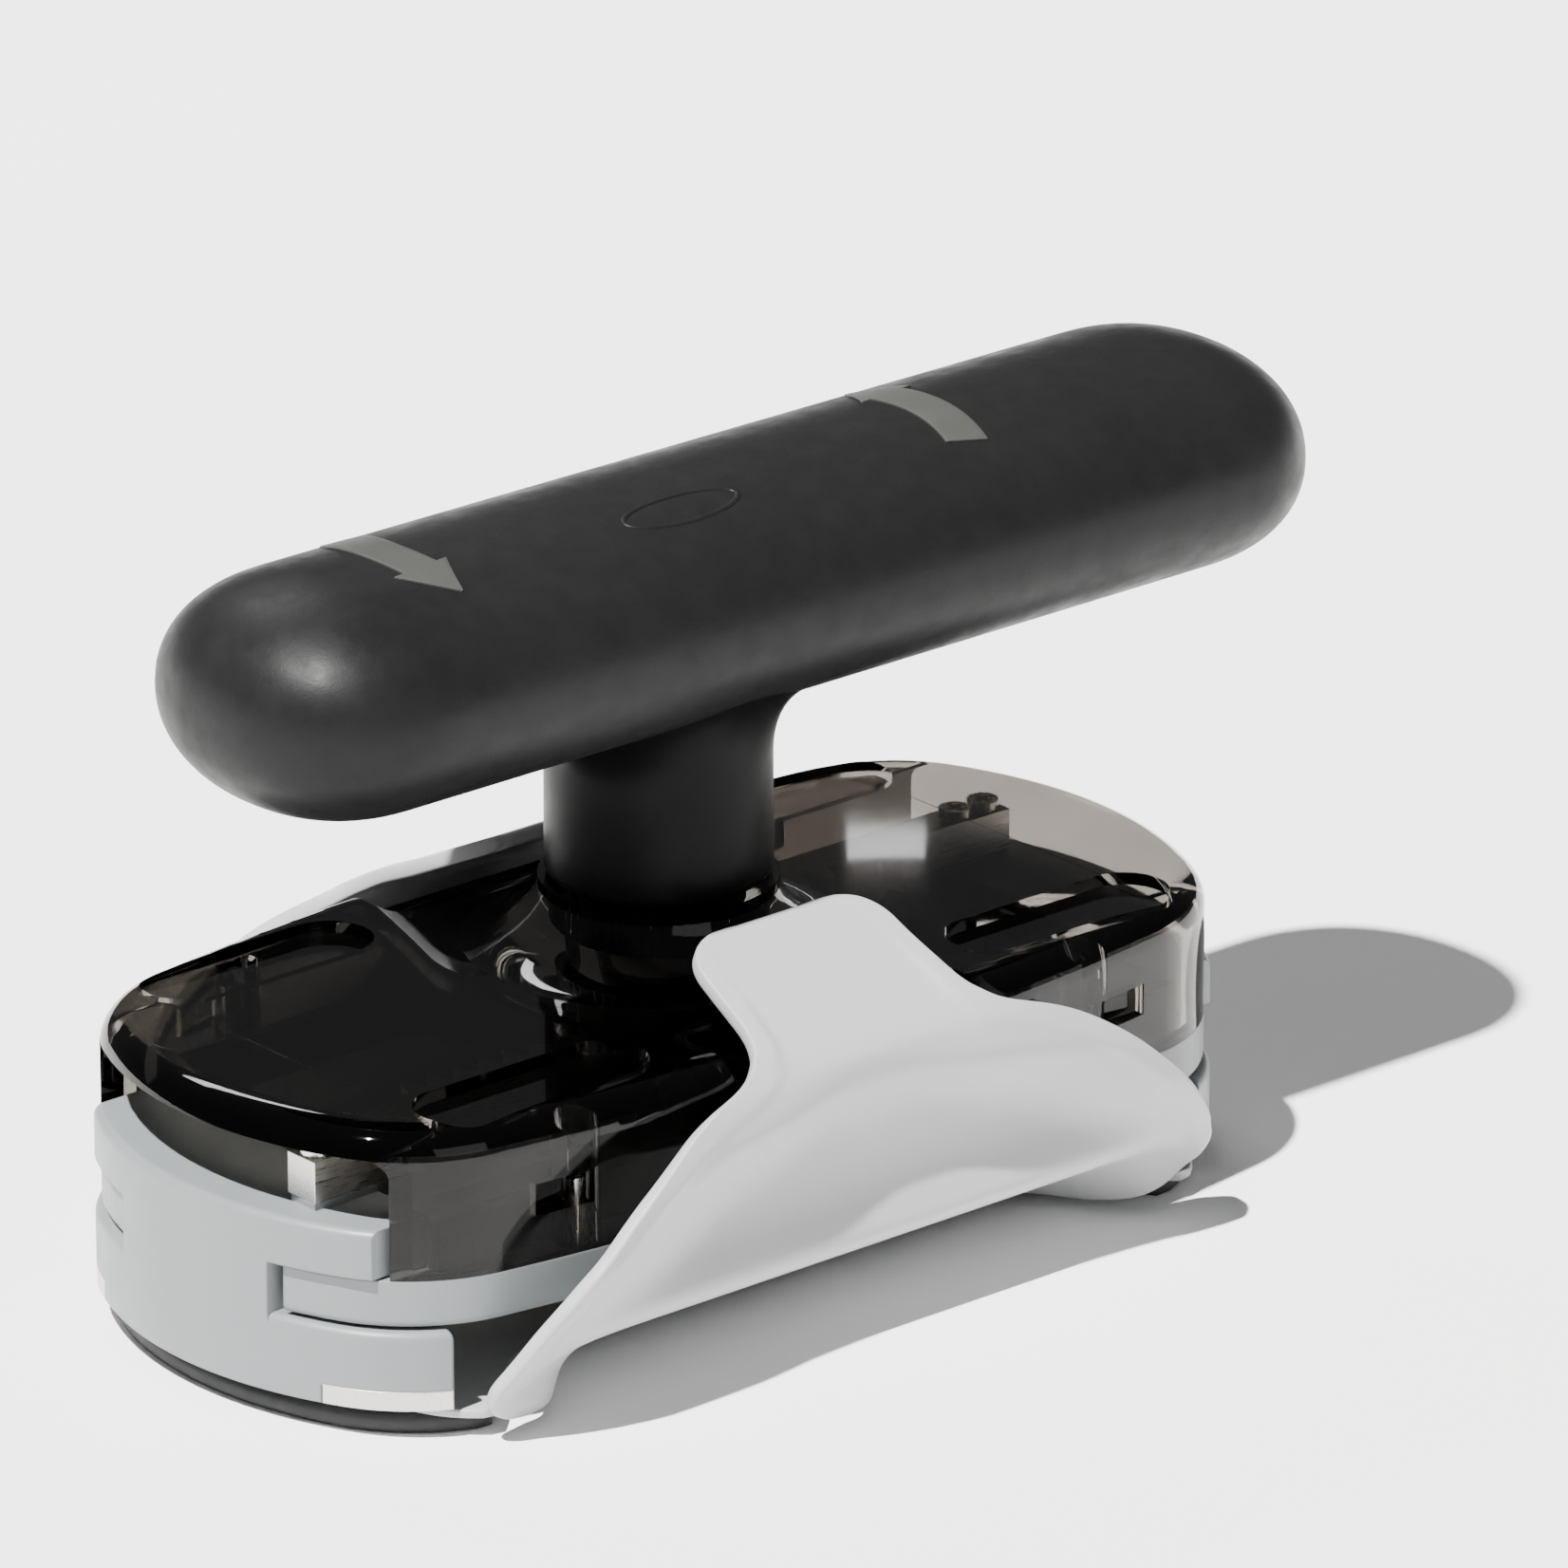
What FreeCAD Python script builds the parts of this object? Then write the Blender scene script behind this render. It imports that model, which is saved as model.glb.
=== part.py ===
import FreeCAD, Part
import math
import os
import Sketcher

# Twisting jar opener, stored on its soft base pad.
# +X runs along the long housing, +Y to the back, +Z up.
# The origin is where the stem axis meets the table.

os.makedirs("parts", exist_ok=True)
V = FreeCAD.Vector
doc = FreeCAD.newDocument("jar_opener")
sheet = doc.addObject("Spreadsheet::Sheet", "dims")

SIZES = [
    # plan outlines, half sizes from the stem axis
    ("housing_half_length", 73.0), ("housing_half_width", 37.5),
    ("jaw_proud", 0.8), ("pad_inset", 1.5),
    ("end_arc_radius", 50.0), ("corner_arc_radius", 21.0), ("side_arc_radius", 330.0),
    # heights above the table
    ("pad_thickness", 2.4), ("sheet_thickness", 1.2), ("jaw_floor", 3.9),
    ("plate_bottom", 14.0), ("plate_thickness", 6.0),
    ("cover_height", 18.6), ("collar_top", 47.0),
    ("handle_axis_height", 82.7),
    # handle
    ("handle_length", 165.0), ("handle_width", 43.4), ("handle_thickness", 28.6),
    ("handle_offset", 13.4), ("handle_end_length", 18.5),
    ("core_length", 148.0), ("core_width", 26.0), ("core_thickness", 13.0),
    # stem and drive
    ("stem_radius", 13.8), ("shaft_radius", 5.0), ("flat_depth", 1.0),
    ("gear_module", 1.25), ("gear_teeth", 16.0), ("gear_height", 5.2),
    ("tooth_play", 0.35), ("rack_play", 0.25),
    # jaws
    ("jaw_travel", 40.0), ("jaw_depth", 14.8), ("block_half_width", 26.0),
    ("block_height", 6.3), ("web_half_width", 13.5), ("slot_play", 1.5),
    ("tooth_plate_thickness", 2.4), ("tooth_pitch", 3.0), ("tooth_height", 1.3),
    ("vee_depth", 5.0),
    # base pad wings
    ("wing_thickness", 2.6), ("wing_half_length", 61.0), ("tab_half_width", 16.0),
    ("fold_radius", 1.3),
    # cover
    ("wall", 2.2), ("cut_height", 15.0), ("notch_half_width", 19.5),
    ("rim_fillet", 4.5), ("dish_depth", 1.6),
    # clearances
    ("slide_gap", 0.3), ("running_fit", 0.06),
]
for row, (name, value) in enumerate(SIZES, start=1):
    sheet.set("A%d" % row, name)
    sheet.set("B%d" % row, str(value))
    sheet.setAlias("B%d" % row, name)
doc.recompute()


def size(name):
    return float(sheet.get(name))


# ---------------------------------------------------------------- helpers

def plane(body, role):
    for item in body.Origin.OriginFeatures:
        if item.Role == role:
            return item
    raise ValueError(role)


def line(p, q):
    return Part.LineSegment(V(*p, 0), V(*q, 0))


def arc(p, m, q):
    return Part.Arc(V(*p, 0), V(*m, 0), V(*q, 0))


def polygon(points):
    return [line(p, q) for p, q in zip(points, points[1:] + points[:1])]


def rectangle(x0, y0, x1, y1):
    return polygon([(x0, y0), (x1, y0), (x1, y1), (x0, y1)])


def circle(x, y, r):
    return [Part.Circle(V(x, y, 0), V(0, 0, 1), r)]


def rounded(points, radius):
    """Closed polygon whose corners are rounded by one radius (or one per corner)."""
    count = len(points)
    radii = radius if isinstance(radius, (list, tuple)) else [radius] * count
    curves, ends = [], []
    for i in range(count):
        p, c, q = (V(*points[j % count], 0) for j in (i - 1, i, i + 1))
        a, b = (p - c).normalize(), (q - c).normalize()
        half = a.getAngle(b) / 2
        r = radii[i]
        if r <= 0:
            ends.append((c, c))
            continue
        start, stop = c + a * (r / math.tan(half)), c + b * (r / math.tan(half))
        centre = c + (a + b).normalize() * (r / math.sin(half))
        middle = centre + (c - centre).normalize() * r
        curves.append(Part.Arc(start, middle, stop))
        ends.append((start, stop))
    for i in range(count):
        p, q = ends[i][1], ends[(i + 1) % count][0]
        if (p - q).Length > 1e-6:
            curves.append(Part.LineSegment(p, q))
    return curves


def oval_outline(half_length, half_width):
    """Plan outline shared by pad, plate, jaws and cover: end, side and corner arcs."""
    re, rs, rc = size("end_arc_radius"), size("side_arc_radius"), size("corner_arc_radius")
    ex, sy = half_length - re, half_width - rs
    # corner arc centre: inside both large arcs by the corner radius
    d = math.hypot(ex, sy)
    r1, r2 = re - rc, rs - rc
    along = (r1 * r1 - r2 * r2 + d * d) / (2 * d)
    across = math.sqrt(r1 * r1 - along * along)
    ux, uy = -ex / d, sy / d
    cx, cy = ex + along * ux - across * uy, along * uy + across * ux
    end_dir = math.atan2(cy, cx - ex)
    side_dir = math.atan2(cy - sy, cx)
    end_top = (ex + re * math.cos(end_dir), re * math.sin(end_dir))
    side_right = (rs * math.cos(side_dir), sy + rs * math.sin(side_dir))
    mid = (end_dir + side_dir) / 2
    corner = (cx + rc * math.cos(mid), cy + rc * math.sin(mid))

    def flip(p, sx, sy_):
        return (p[0] * sx, p[1] * sy_)
    curves = []
    for s in (1, -1):
        curves.append(arc(flip(end_top, s, -1), (s * half_length, 0), flip(end_top, s, 1)))
        curves.append(arc(flip(side_right, -1, s), (0, s * half_width), flip(side_right, 1, s)))
        for t in (1, -1):
            curves.append(arc(flip(end_top, s, t), flip(corner, s, t), flip(side_right, s, t)))
    return curves


def new_body(label):
    body = doc.addObject("PartDesign::Body", label)
    body.Label = label
    return body


def sketch_on(body, name, role, offset, curves):
    """Sketch on one of the body's origin planes, raised by an expression."""
    sk = body.newObject("Sketcher::SketchObject", name)
    sk.AttachmentSupport = (plane(body, role), [""])
    sk.MapMode = "FlatFace"
    if offset:
        sk.setExpression("AttachmentOffset.Base.z", offset)
    sk.addGeometry(curves, False)
    return sk


def pad(body, name, z, height, curves, role="XY_Plane", midplane=False):
    sk = sketch_on(body, name + "_sketch", role, z, curves)
    feature = body.newObject("PartDesign::Pad", name)
    feature.Profile = sk
    feature.Midplane = midplane
    feature.setExpression("Length", height)
    body.Tip = feature
    doc.recompute()
    return feature


def pocket(body, name, z, height, curves, role="XY_Plane", midplane=False):
    """Cut from the sketch plane towards the plane's positive side."""
    sk = sketch_on(body, name + "_sketch", role, z, curves)
    before = body.Tip.Shape.Volume
    feature = body.newObject("PartDesign::Pocket", name)
    feature.Profile = sk
    feature.Midplane = midplane
    feature.Reversed = not midplane
    feature.setExpression("Length", height)
    body.Tip = feature
    doc.recompute()
    if not feature.Shape.Volume < before - 1e-3:
        raise ValueError("%s cuts nothing" % name)
    return feature


def fillet(body, name, radius, picker):
    """Fillet the edges of the tip that the picker accepts."""
    base = body.Tip
    names = ["Edge%d" % (i + 1) for i, e in enumerate(base.Shape.Edges) if picker(e)]
    if not names:
        raise ValueError("%s finds no edges" % name)
    feature = body.newObject("PartDesign::Fillet", name)
    feature.Base = (base, names)
    feature.setExpression("Radius", radius)
    body.Tip = feature
    doc.recompute()
    return feature


def at_height(z):
    def pick(edge):
        box = edge.BoundBox
        return abs(box.ZMin - z) < 1e-4 and abs(box.ZMax - z) < 1e-4
    return pick


def solid_feature(label, shape):
    feature = doc.addObject("Part::Feature", label)
    feature.Label = label
    feature.Shape = shape
    return feature


# ---------------------------------------------------------------- shared values
half_length, half_width = size("housing_half_length"), size("housing_half_width")
jaw_length, jaw_width = half_length + size("jaw_proud"), half_width + size("jaw_proud")
pad_length, pad_width = half_length - size("pad_inset"), half_width - size("pad_inset") / 2
gap = size("slide_gap")
fit = size("running_fit")
plate_top = size("plate_bottom") + size("plate_thickness")
sheet_top = size("pad_thickness") + size("sheet_thickness")
rim_height = plate_top + size("cover_height")
block_bottom = plate_top + gap
block_top = plate_top + size("block_height")
jaw_inner = jaw_length - size("jaw_depth")
grip_z = size("handle_axis_height")
pitch_radius = size("gear_module") * size("gear_teeth") / 2
addendum = size("gear_module")
dedendum = 1.25 * size("gear_module")
RACK_LIFT = 0.9          # rack underside above the jaw blocks
rack_bottom = block_top + RACK_LIFT
rack_top = rack_bottom + size("gear_height")
RACK_DEPTH = 5.0         # rack back beyond its tooth roots
rack_root = pitch_radius + dedendum
rack_back = rack_root + RACK_DEPTH
RACK_TIP = 8.0           # rack reach past the stem axis at rest
parts = []


# ---------------------------------------------------------------- base pad
PAD_EDGE = 0.6
SHEET_HALF_LENGTH = 62.0
SHEET_CORNER = 16.0
SHEET_PROUD = 0.2        # sheet edge beyond the pad's side
GROOVE_PITCH = 12.0
GROOVE_HALF_WIDTH = 0.5
GROOVE_HALF_LENGTH = 28.0
GROOVE_DEPTH = 0.4


def base_pad():
    body = new_body("base_pad")
    pad(body, "disc", None, "dims.pad_thickness", oval_outline(pad_length, pad_width))
    fillet(body, "disc_edge", "%f" % PAD_EDGE,
           lambda e: at_height(0.0)(e) or at_height(size("pad_thickness"))(e))
    parts.append(body)


def pad_sheet():
    body = new_body("pad_sheet")
    x, y = SHEET_HALF_LENGTH, pad_width + SHEET_PROUD
    curves = rounded([(-x, -y), (x, -y), (x, y), (-x, y)], SHEET_CORNER)
    pad(body, "sheet", "dims.pad_thickness", "dims.sheet_thickness", curves)
    # shallow grip grooves across the sheet, under the opener
    for i in range(-4, 5):
        at = GROOVE_PITCH * i
        pocket(body, "groove_%d" % (i + 4),
               "dims.pad_thickness + dims.sheet_thickness - %f" % GROOVE_DEPTH, "1",
               rectangle(at - GROOVE_HALF_WIDTH, -GROOVE_HALF_LENGTH,
                         at + GROOVE_HALF_WIDTH, GROOVE_HALF_LENGTH))
    parts.append(body)


FOLD_GAP = 0.4           # between the sheet's edge and the wing's fold bead
FOLD_HEIGHT = 0.7        # fold axis above the pad
fold_y = pad_width + SHEET_PROUD + FOLD_GAP + size("fold_radius")
fold_z = size("pad_thickness") + FOLD_HEIGHT
# wing's outer face, from the fold up: distance outside the fold axis, height
WING_PROFILE = [(0.9, 2.16), (3.0, 6.4), (4.3, 12.5), (4.1, 24.0), (3.2, 32.0),
                (0.1, 37.8), (-4.8, 40.8), (-11.3, 44.1), (-18.5, 47.6)]
OFFSET_STEPS = 30
TAB_END_CORNER = 6.0
TAB_INNER_Y = 27.0       # the end corners are rounded inside this distance


def wing(label, side):
    """Folding wing: a curved strip cut to a half-oval with a pull tab at its top."""
    t = size("wing_thickness")
    face = Part.BSplineCurve()
    face.interpolate([V(0, side * (fold_y + out), z) for out, z in WING_PROFILE])
    edge = face.toShape()
    inner = []
    for i in range(OFFSET_STEPS + 1):
        u = face.FirstParameter + (face.LastParameter - face.FirstParameter) * i / OFFSET_STEPS
        p, tangent = face.value(u), face.tangent(u)[0]
        inward = V(0, -side * tangent.z, side * tangent.y)
        inner.append(p + inward * t)
    back = Part.BSplineCurve()
    back.approximate(Points=inner, Tolerance=0.02, DegMin=3, DegMax=5)
    start_line = Part.LineSegment(face.StartPoint, back.StartPoint)
    end_line = Part.LineSegment(back.EndPoint, face.EndPoint)
    section = Part.Face(Part.Wire(Part.__sortEdges__(
        [edge, back.toShape(), start_line.toShape(), end_line.toShape()])))
    reach = size("wing_half_length") + 4
    strip = section.extrude(V(2 * reach, 0, 0))
    strip.translate(V(-reach, 0, 0))
    bead = Part.makeCylinder(size("fold_radius"), 2 * reach, V(-reach, side * fold_y, fold_z), V(1, 0, 0))
    strip = strip.fuse(bead).removeSplitter()
    # front outline: an arch on each side, then the tab
    w, x = size("tab_half_width"), size("wing_half_length")
    arch_top = (w + 7.0, 35.0)
    arch_mid = (x - 13.0, 20.0)
    right = [Part.Arc(V(x, 0, 4.0), V(arch_mid[0], 0, arch_mid[1]), V(arch_top[0], 0, arch_top[1])),
             Part.Arc(V(arch_top[0], 0, arch_top[1]), V(w + 2.4, 0, 37.2), V(w, 0, 42.0)),
             Part.LineSegment(V(w, 0, 42.0), V(w - 1.0, 0, 60.0))]
    edges = [c.toShape() for c in right]
    mirror = [e.mirror(V(0, 0, 0), V(1, 0, 0)) for e in edges]
    top = [Part.LineSegment(V(w - 1.0, 0, 60.0), V(1.0 - w, 0, 60.0)).toShape()]
    low = [Part.LineSegment(V(x, 0, 4.0), V(x, 0, 0)).toShape(),
           Part.LineSegment(V(x, 0, 0), V(-x, 0, 0)).toShape(),
           Part.LineSegment(V(-x, 0, 0), V(-x, 0, 4.0)).toShape()]
    outline = Part.Face(Part.Wire(Part.__sortEdges__(edges + mirror + top + low)))
    outline.translate(V(0, -60, 0))
    prism = outline.extrude(V(0, 120, 0))
    # plan outline: rounds the two end corners of the tab
    end_y = fold_y + WING_PROFILE[-1][0] - 0.2
    tab = rounded([(-w, side * end_y), (w, side * end_y), (w, side * 60), (-w, side * 60)],
                  [TAB_END_CORNER, TAB_END_CORNER, 0, 0])
    column = extruded(tab, -1, 60)
    slab = Part.makeBox(2 * reach, 33, 61)
    slab.translate(V(-reach, TAB_INNER_Y if side > 0 else -TAB_INNER_Y - 33, -1))
    shape = strip.common(prism).common(column.fuse(slab)).removeSplitter()
    parts.append(solid_feature(label, shape.Solids[0]))


# ---------------------------------------------------------------- housing
SHAFT_HOLE = 8.5
PLATE_EDGE = 1.0


def slot_limit():
    return jaw_inner - size("jaw_travel") - 2.0


def base_plate():
    body = new_body("base_plate")
    pad(body, "plate", "dims.plate_bottom", "dims.plate_thickness", oval_outline(half_length, half_width))
    w = size("web_half_width") + size("slot_play")
    for side in (-1, 1):
        near, far = side * slot_limit(), side * (half_length + 5)
        pocket(body, "slot_%s" % ("left" if side < 0 else "right"), "dims.plate_bottom",
               "dims.plate_thickness", rectangle(min(near, far), -w, max(near, far), w))
    pocket(body, "shaft_hole", "dims.plate_bottom", "dims.plate_thickness", circle(0, 0, SHAFT_HOLE))
    for x, y in SCREW_SPOTS:
        pocket(body, "screw_hole_%d_%d" % (x + 99, y + 99), "dims.plate_bottom", "dims.plate_thickness",
               circle(x, y, SCREW_RADIUS + 0.15))
        pocket(body, "screw_seat_%d_%d" % (x + 99, y + 99), "dims.plate_bottom",
               "%f" % HEAD_RECESS, circle(x, y, SCREW_HEAD + 0.2))
    # the long outer edges, not the slots or holes
    fillet(body, "lower_edge", "%f" % PLATE_EDGE,
           lambda e: at_height(size("plate_bottom"))(e) and e.Length > 30
           and max(abs(e.BoundBox.YMin), abs(e.BoundBox.YMax)) > half_width - 1)
    parts.append(body)


SCREW_RADIUS = 1.5
SCREW_HEAD = 2.4
SCREW_SPOTS = [(-40, -31.2), (40, -31.2), (-40, 31.2), (40, 31.2)]
BOSS_RADIUS = 2.8
HEAD_HEIGHT = 2.0
DRIVE_WIDTH = 0.8
DRIVE_LENGTH = 3.0
DRIVE_DEPTH = 0.9
HEAD_RECESS = 2.2        # depth of the screw seats in the plate
HOUSING_SCREW_LENGTH = 12.0


def screw(x, y, z_head, length, up=True, head_radius=SCREW_HEAD, radius=SCREW_RADIUS):
    """Flat-headed screw with a cross drive: outer head face at z_head, shank up or down."""
    way = 1 if up else -1
    head = Part.makeCylinder(head_radius, HEAD_HEIGHT, V(x, y, z_head), V(0, 0, way))
    shank = Part.makeCylinder(radius, length, V(x, y, z_head + HEAD_HEIGHT * way), V(0, 0, way))
    shape = head.fuse(shank).removeSplitter()
    floor = z_head if up else z_head - DRIVE_DEPTH
    for w, l in ((DRIVE_WIDTH, DRIVE_LENGTH), (DRIVE_LENGTH, DRIVE_WIDTH)):
        recess = Part.makeBox(w, l, DRIVE_DEPTH)
        recess.translate(V(x - w / 2, y - l / 2, floor))
        shape = shape.cut(recess)
    return shape


def housing_screws():
    head_z = size("plate_bottom") + HEAD_RECESS - HEAD_HEIGHT
    solids = [screw(x, y, head_z, HOUSING_SCREW_LENGTH) for x, y in SCREW_SPOTS]
    parts.append(solid_feature("housing_screws", Part.makeCompound(solids)))


RAIL_HALF_LENGTH = 58.0
RAIL_WIDTH = 2.0
FRAME_HEIGHT = 6.1
LIGHT_HOLE = (11.0, 9.0, 19.0)    # half length, near and far distance from the axis


def inner_frame():
    """Black guide frame: two side rails joined by a centre block under the gear."""
    body = new_body("inner_frame")
    rail_in = size("block_half_width") + gap
    rail_out = rail_in + RAIL_WIDTH
    x = RAIL_HALF_LENGTH
    half_block = slot_limit() - 1.5
    outline = polygon([(-x, -rail_out), (x, -rail_out), (x, -rail_in), (half_block, -rail_in),
                       (half_block, rail_in), (x, rail_in), (x, rail_out), (-x, rail_out),
                       (-x, rail_in), (-half_block, rail_in), (-half_block, -rail_in), (-x, -rail_in)])
    floor = "dims.plate_bottom + dims.plate_thickness"
    height = "%f" % FRAME_HEIGHT
    pad(body, "frame", floor, height, outline)
    pocket(body, "bearing", floor, height, circle(0, 0, size("shaft_radius") + fit))
    long, near, far = LIGHT_HOLE
    for side in (-1, 1):
        y0, y1 = min(side * near, side * far), max(side * near, side * far)
        pocket(body, "light_hole_%d" % (side + 1), floor, height,
               rounded([(-long, y0), (long, y0), (long, y1), (-long, y1)], 2))
    parts.append(body)


def top_cover():
    """Smoked cover: thin shell with collar, dished lobes, end cut-outs and tab notches."""
    wall = size("wall")
    body = new_body("cover_shell")
    pad(body, "shell", "dims.plate_bottom + dims.plate_thickness", "dims.cover_height",
        oval_outline(half_length, half_width))
    fillet(body, "rim", "dims.rim_fillet", at_height(rim_height))
    # collar with a concave flare, turned about the stem axis
    collar_r = size("stem_radius") + 0.8
    top = size("collar_top")
    base = rim_height - 3
    flare = [V(0, 0, base), V(FLARE_RADIUS, 0, base), V(FLARE_RADIUS, 0, rim_height),
             V(collar_r + 3.4, 0, rim_height + 2.4), V(collar_r, 0, top - 1.5),
             V(collar_r, 0, top), V(0, 0, top)]
    edges = [Part.LineSegment(flare[i], flare[i + 1]) for i in (0, 1)]
    edges.append(Part.Arc(flare[2], flare[3], flare[4]))
    edges += [Part.LineSegment(flare[4], flare[5]), Part.LineSegment(flare[5], flare[6]),
              Part.LineSegment(flare[6], flare[0])]
    collar = Part.Face(Part.Wire([e.toShape() for e in edges])).revolve(V(0, 0, 0), V(0, 0, 1), 360)
    collar = collar.Solids[0] if collar.Solids else Part.Solid(collar)
    shape = body.Shape.fuse(collar)
    # hollow inside, leaving the top and the side wall
    ceiling = rim_height - size("rim_fillet") + CEILING_RISE
    cavity = extruded(oval_outline(half_length - wall, half_width - wall), plate_top, ceiling)
    nw = size("notch_half_width")
    for side in (-1, 1):
        # the wall steps inward behind each tab notch
        step = Part.makeBox(2 * nw + 2 * wall, STEP_SIZE, STEP_SIZE)
        step.translate(V(-nw - wall, STEP_Y if side > 0 else -STEP_Y - STEP_SIZE, STEP_Y))
        cavity = cavity.cut(step)
    shape = shape.cut(cavity)
    for x, y in SCREW_SPOTS:
        boss = Part.makeCylinder(BOSS_RADIUS, ceiling - plate_top - 0.2, V(x, y, plate_top + 0.2))
        shape = shape.fuse(boss.fuse(Part.makeCylinder(BOSS_RADIUS, 1.0, V(x, y, ceiling - 0.5))))
        shape = shape.cut(Part.makeCylinder(SCREW_RADIUS, 12, V(x, y, plate_top)))
    # bore for the bush
    shape = shape.cut(Part.makeCylinder(BUSH_RADIUS, top - BUSH_FLOOR + 1, V(0, 0, BUSH_FLOOR)))
    shape = shape.cut(Part.makeCylinder(BUSH_RADIUS - 1.5, top, V(0, 0, plate_top)))
    # end cut-outs for the jaws
    half_cut = size("block_half_width") + 1.0
    for side in (-1, 1):
        window = Part.makeBox(22, 2 * half_cut, size("cut_height") + 1)
        at_top = at_height(size("cut_height") + 1)
        top_edges = [e for e in window.Edges if at_top(e) and e.BoundBox.XLength > 10]
        window = window.makeFillet(WINDOW_CORNER, top_edges)
        start = half_length - WINDOW_DEPTH
        window.translate(V(start if side > 0 else -start - 22, -half_cut, plate_top - 1))
        shape = shape.cut(window)
    # notches for the wing tabs, and the dished lobes beside them
    for side in (-1, 1):
        profile = [(NOTCH_INNER, NOTCH_FLOOR), (NOTCH_KNEE, NOTCH_FLOOR), (NOTCH_OUTER, NOTCH_LOW),
                   (NOTCH_OUTER + 6, NOTCH_LOW), (NOTCH_OUTER + 6, 60), (NOTCH_INNER, 60)]
        face = Part.Face(Part.makePolygon([V(-nw, side * y, z) for y, z in profile + profile[:1]]))
        notch = face.extrude(V(2 * nw, 0, 0))
        notch = notch.makeFillet(3.0, [e for e in notch.Edges if e.BoundBox.ZLength > 20
                                       and abs(e.BoundBox.YMax * side) < NOTCH_INNER + 0.5])
        shape = shape.cut(notch)
        for end in (-1, 1):
            x0, x1 = (end * x for x in DISH_X)
            y0, y1 = (side * y for y in DISH_Y)
            dish = rounded([(x0, y0), (x1, y0), (x1, y1), (x0, y1)], DISH_CORNER)
            cutter = extruded(dish, rim_height - size("dish_depth"), rim_height + 1)
            shape = shape.cut(cutter)
    # snap windows low in the side walls
    for side in (-1, 1):
        for end in (-1, 1):
            window = Part.makeBox(SNAP_WIDTH, 8, SNAP_HEIGHT)
            window.translate(V(end * SNAP_X - SNAP_WIDTH / 2, side * (half_width - 1) - 4, plate_top + 6.0))
            shape = shape.cut(window)
    parts.append(solid_feature("top_cover", shape.removeSplitter().Solids[0]))
    body.Visibility = False


FLARE_RADIUS = 26.0
CEILING_RISE = 0.7
STEP_Y = 30.5
STEP_SIZE = 12.0
NOTCH_FLOOR = 36.4
NOTCH_LOW = 31.0
NOTCH_INNER = 25.5
NOTCH_KNEE = 32.8
NOTCH_OUTER = 38.5
DISH_X = (25.0, 58.0)
DISH_Y = (20.0, 31.0)
DISH_CORNER = 5.4
WINDOW_DEPTH = 17.0
WINDOW_CORNER = 2.5
SNAP_X = 44.0
SNAP_WIDTH = 8.0
SNAP_HEIGHT = 4.0
BUSH_RADIUS = 10.5
BUSH_FLOOR = 39.0


def extruded(curves, z0, z1):
    wire = Part.Wire(Part.__sortEdges__([c.toShape() for c in curves]))
    face = Part.Face(wire)
    face.translate(V(0, 0, z0))
    return face.extrude(V(0, 0, z1 - z0))


def tube(label, z0, z1, outer, inner):
    """Ring made of two Part cylinders and a cut, all bound to the sheet."""
    big = doc.addObject("Part::Cylinder", label + "_outer")
    small = doc.addObject("Part::Cylinder", label + "_inner")
    for item, r in ((big, outer), (small, inner)):
        item.setExpression("Radius", r)
        item.setExpression("Height", "(%s) - (%s)" % (z1, z0))
        item.setExpression("Placement.Base.z", z0)
    ring = doc.addObject("Part::Cut", label)
    ring.Base, ring.Tool = big, small
    ring.Label = label
    doc.recompute()
    return ring


def collar_bush():
    parts.append(tube("collar_bush", "%f" % BUSH_FLOOR, "dims.collar_top - 0.2", "%f" % BUSH_RADIUS,
                      "dims.shaft_radius + dims.running_fit"))


# ---------------------------------------------------------------- drive
def involute_flank(base_r, tip_r, root_r, half_angle, steps=5):
    """Points up one flank from root to tip; half_angle is the flank's angle at the pitch circle."""
    pitch_roll = math.sqrt((pitch_radius / base_r) ** 2 - 1)
    pitch_inv = pitch_roll - math.atan(pitch_roll)
    points = [(root_r, half_angle + pitch_inv)]
    for i in range(steps + 1):
        r = max(base_r, root_r) + (tip_r - max(base_r, root_r)) * i / steps
        roll = math.sqrt(max((r / base_r) ** 2 - 1, 0))
        points.append((r, half_angle + pitch_inv - (roll - math.atan(roll))))
    return points


def pinion_gear():
    body = new_body("pinion_gear")
    teeth = int(size("gear_teeth"))
    tip, root = pitch_radius + addendum, pitch_radius - dedendum
    base = pitch_radius * math.cos(math.radians(20))
    # half the tooth thickness as an angle, less the play
    half_tooth = math.pi / (2 * teeth) - size("tooth_play") / (2 * pitch_radius)
    pitch = 2 * math.pi / teeth
    flank = involute_flank(base, tip + 0.3, root, half_tooth)
    # the space lies between one tooth's left flank and the next tooth's right flank
    first = [(r, -math.pi / 2 - pitch / 2 + a) for r, a in flank]
    second = [(r, -math.pi / 2 + pitch / 2 - a) for r, a in reversed(flank)]
    space = [(r * math.cos(a), r * math.sin(a)) for r, a in first[::-1]] \
        + [(r * math.cos(a), r * math.sin(a)) for r, a in second[::-1]]
    pad(body, "blank", None, "dims.gear_height", circle(0, 0, tip))
    cut = pocket(body, "space", None, "dims.gear_height", polygon(space))
    pattern = body.newObject("PartDesign::PolarPattern", "teeth")
    pattern.Originals = [cut]
    pattern.Axis = (plane(body, "Z_Axis"), [""])
    pattern.Angle = 360
    pattern.Occurrences = teeth
    body.Tip = pattern
    doc.recompute()
    pocket(body, "bore", None, "dims.gear_height", d_section(size("shaft_radius") + 0.03))
    body.Placement = FreeCAD.Placement(V(0, 0, rack_bottom), FreeCAD.Rotation())
    parts.append(body)


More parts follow.
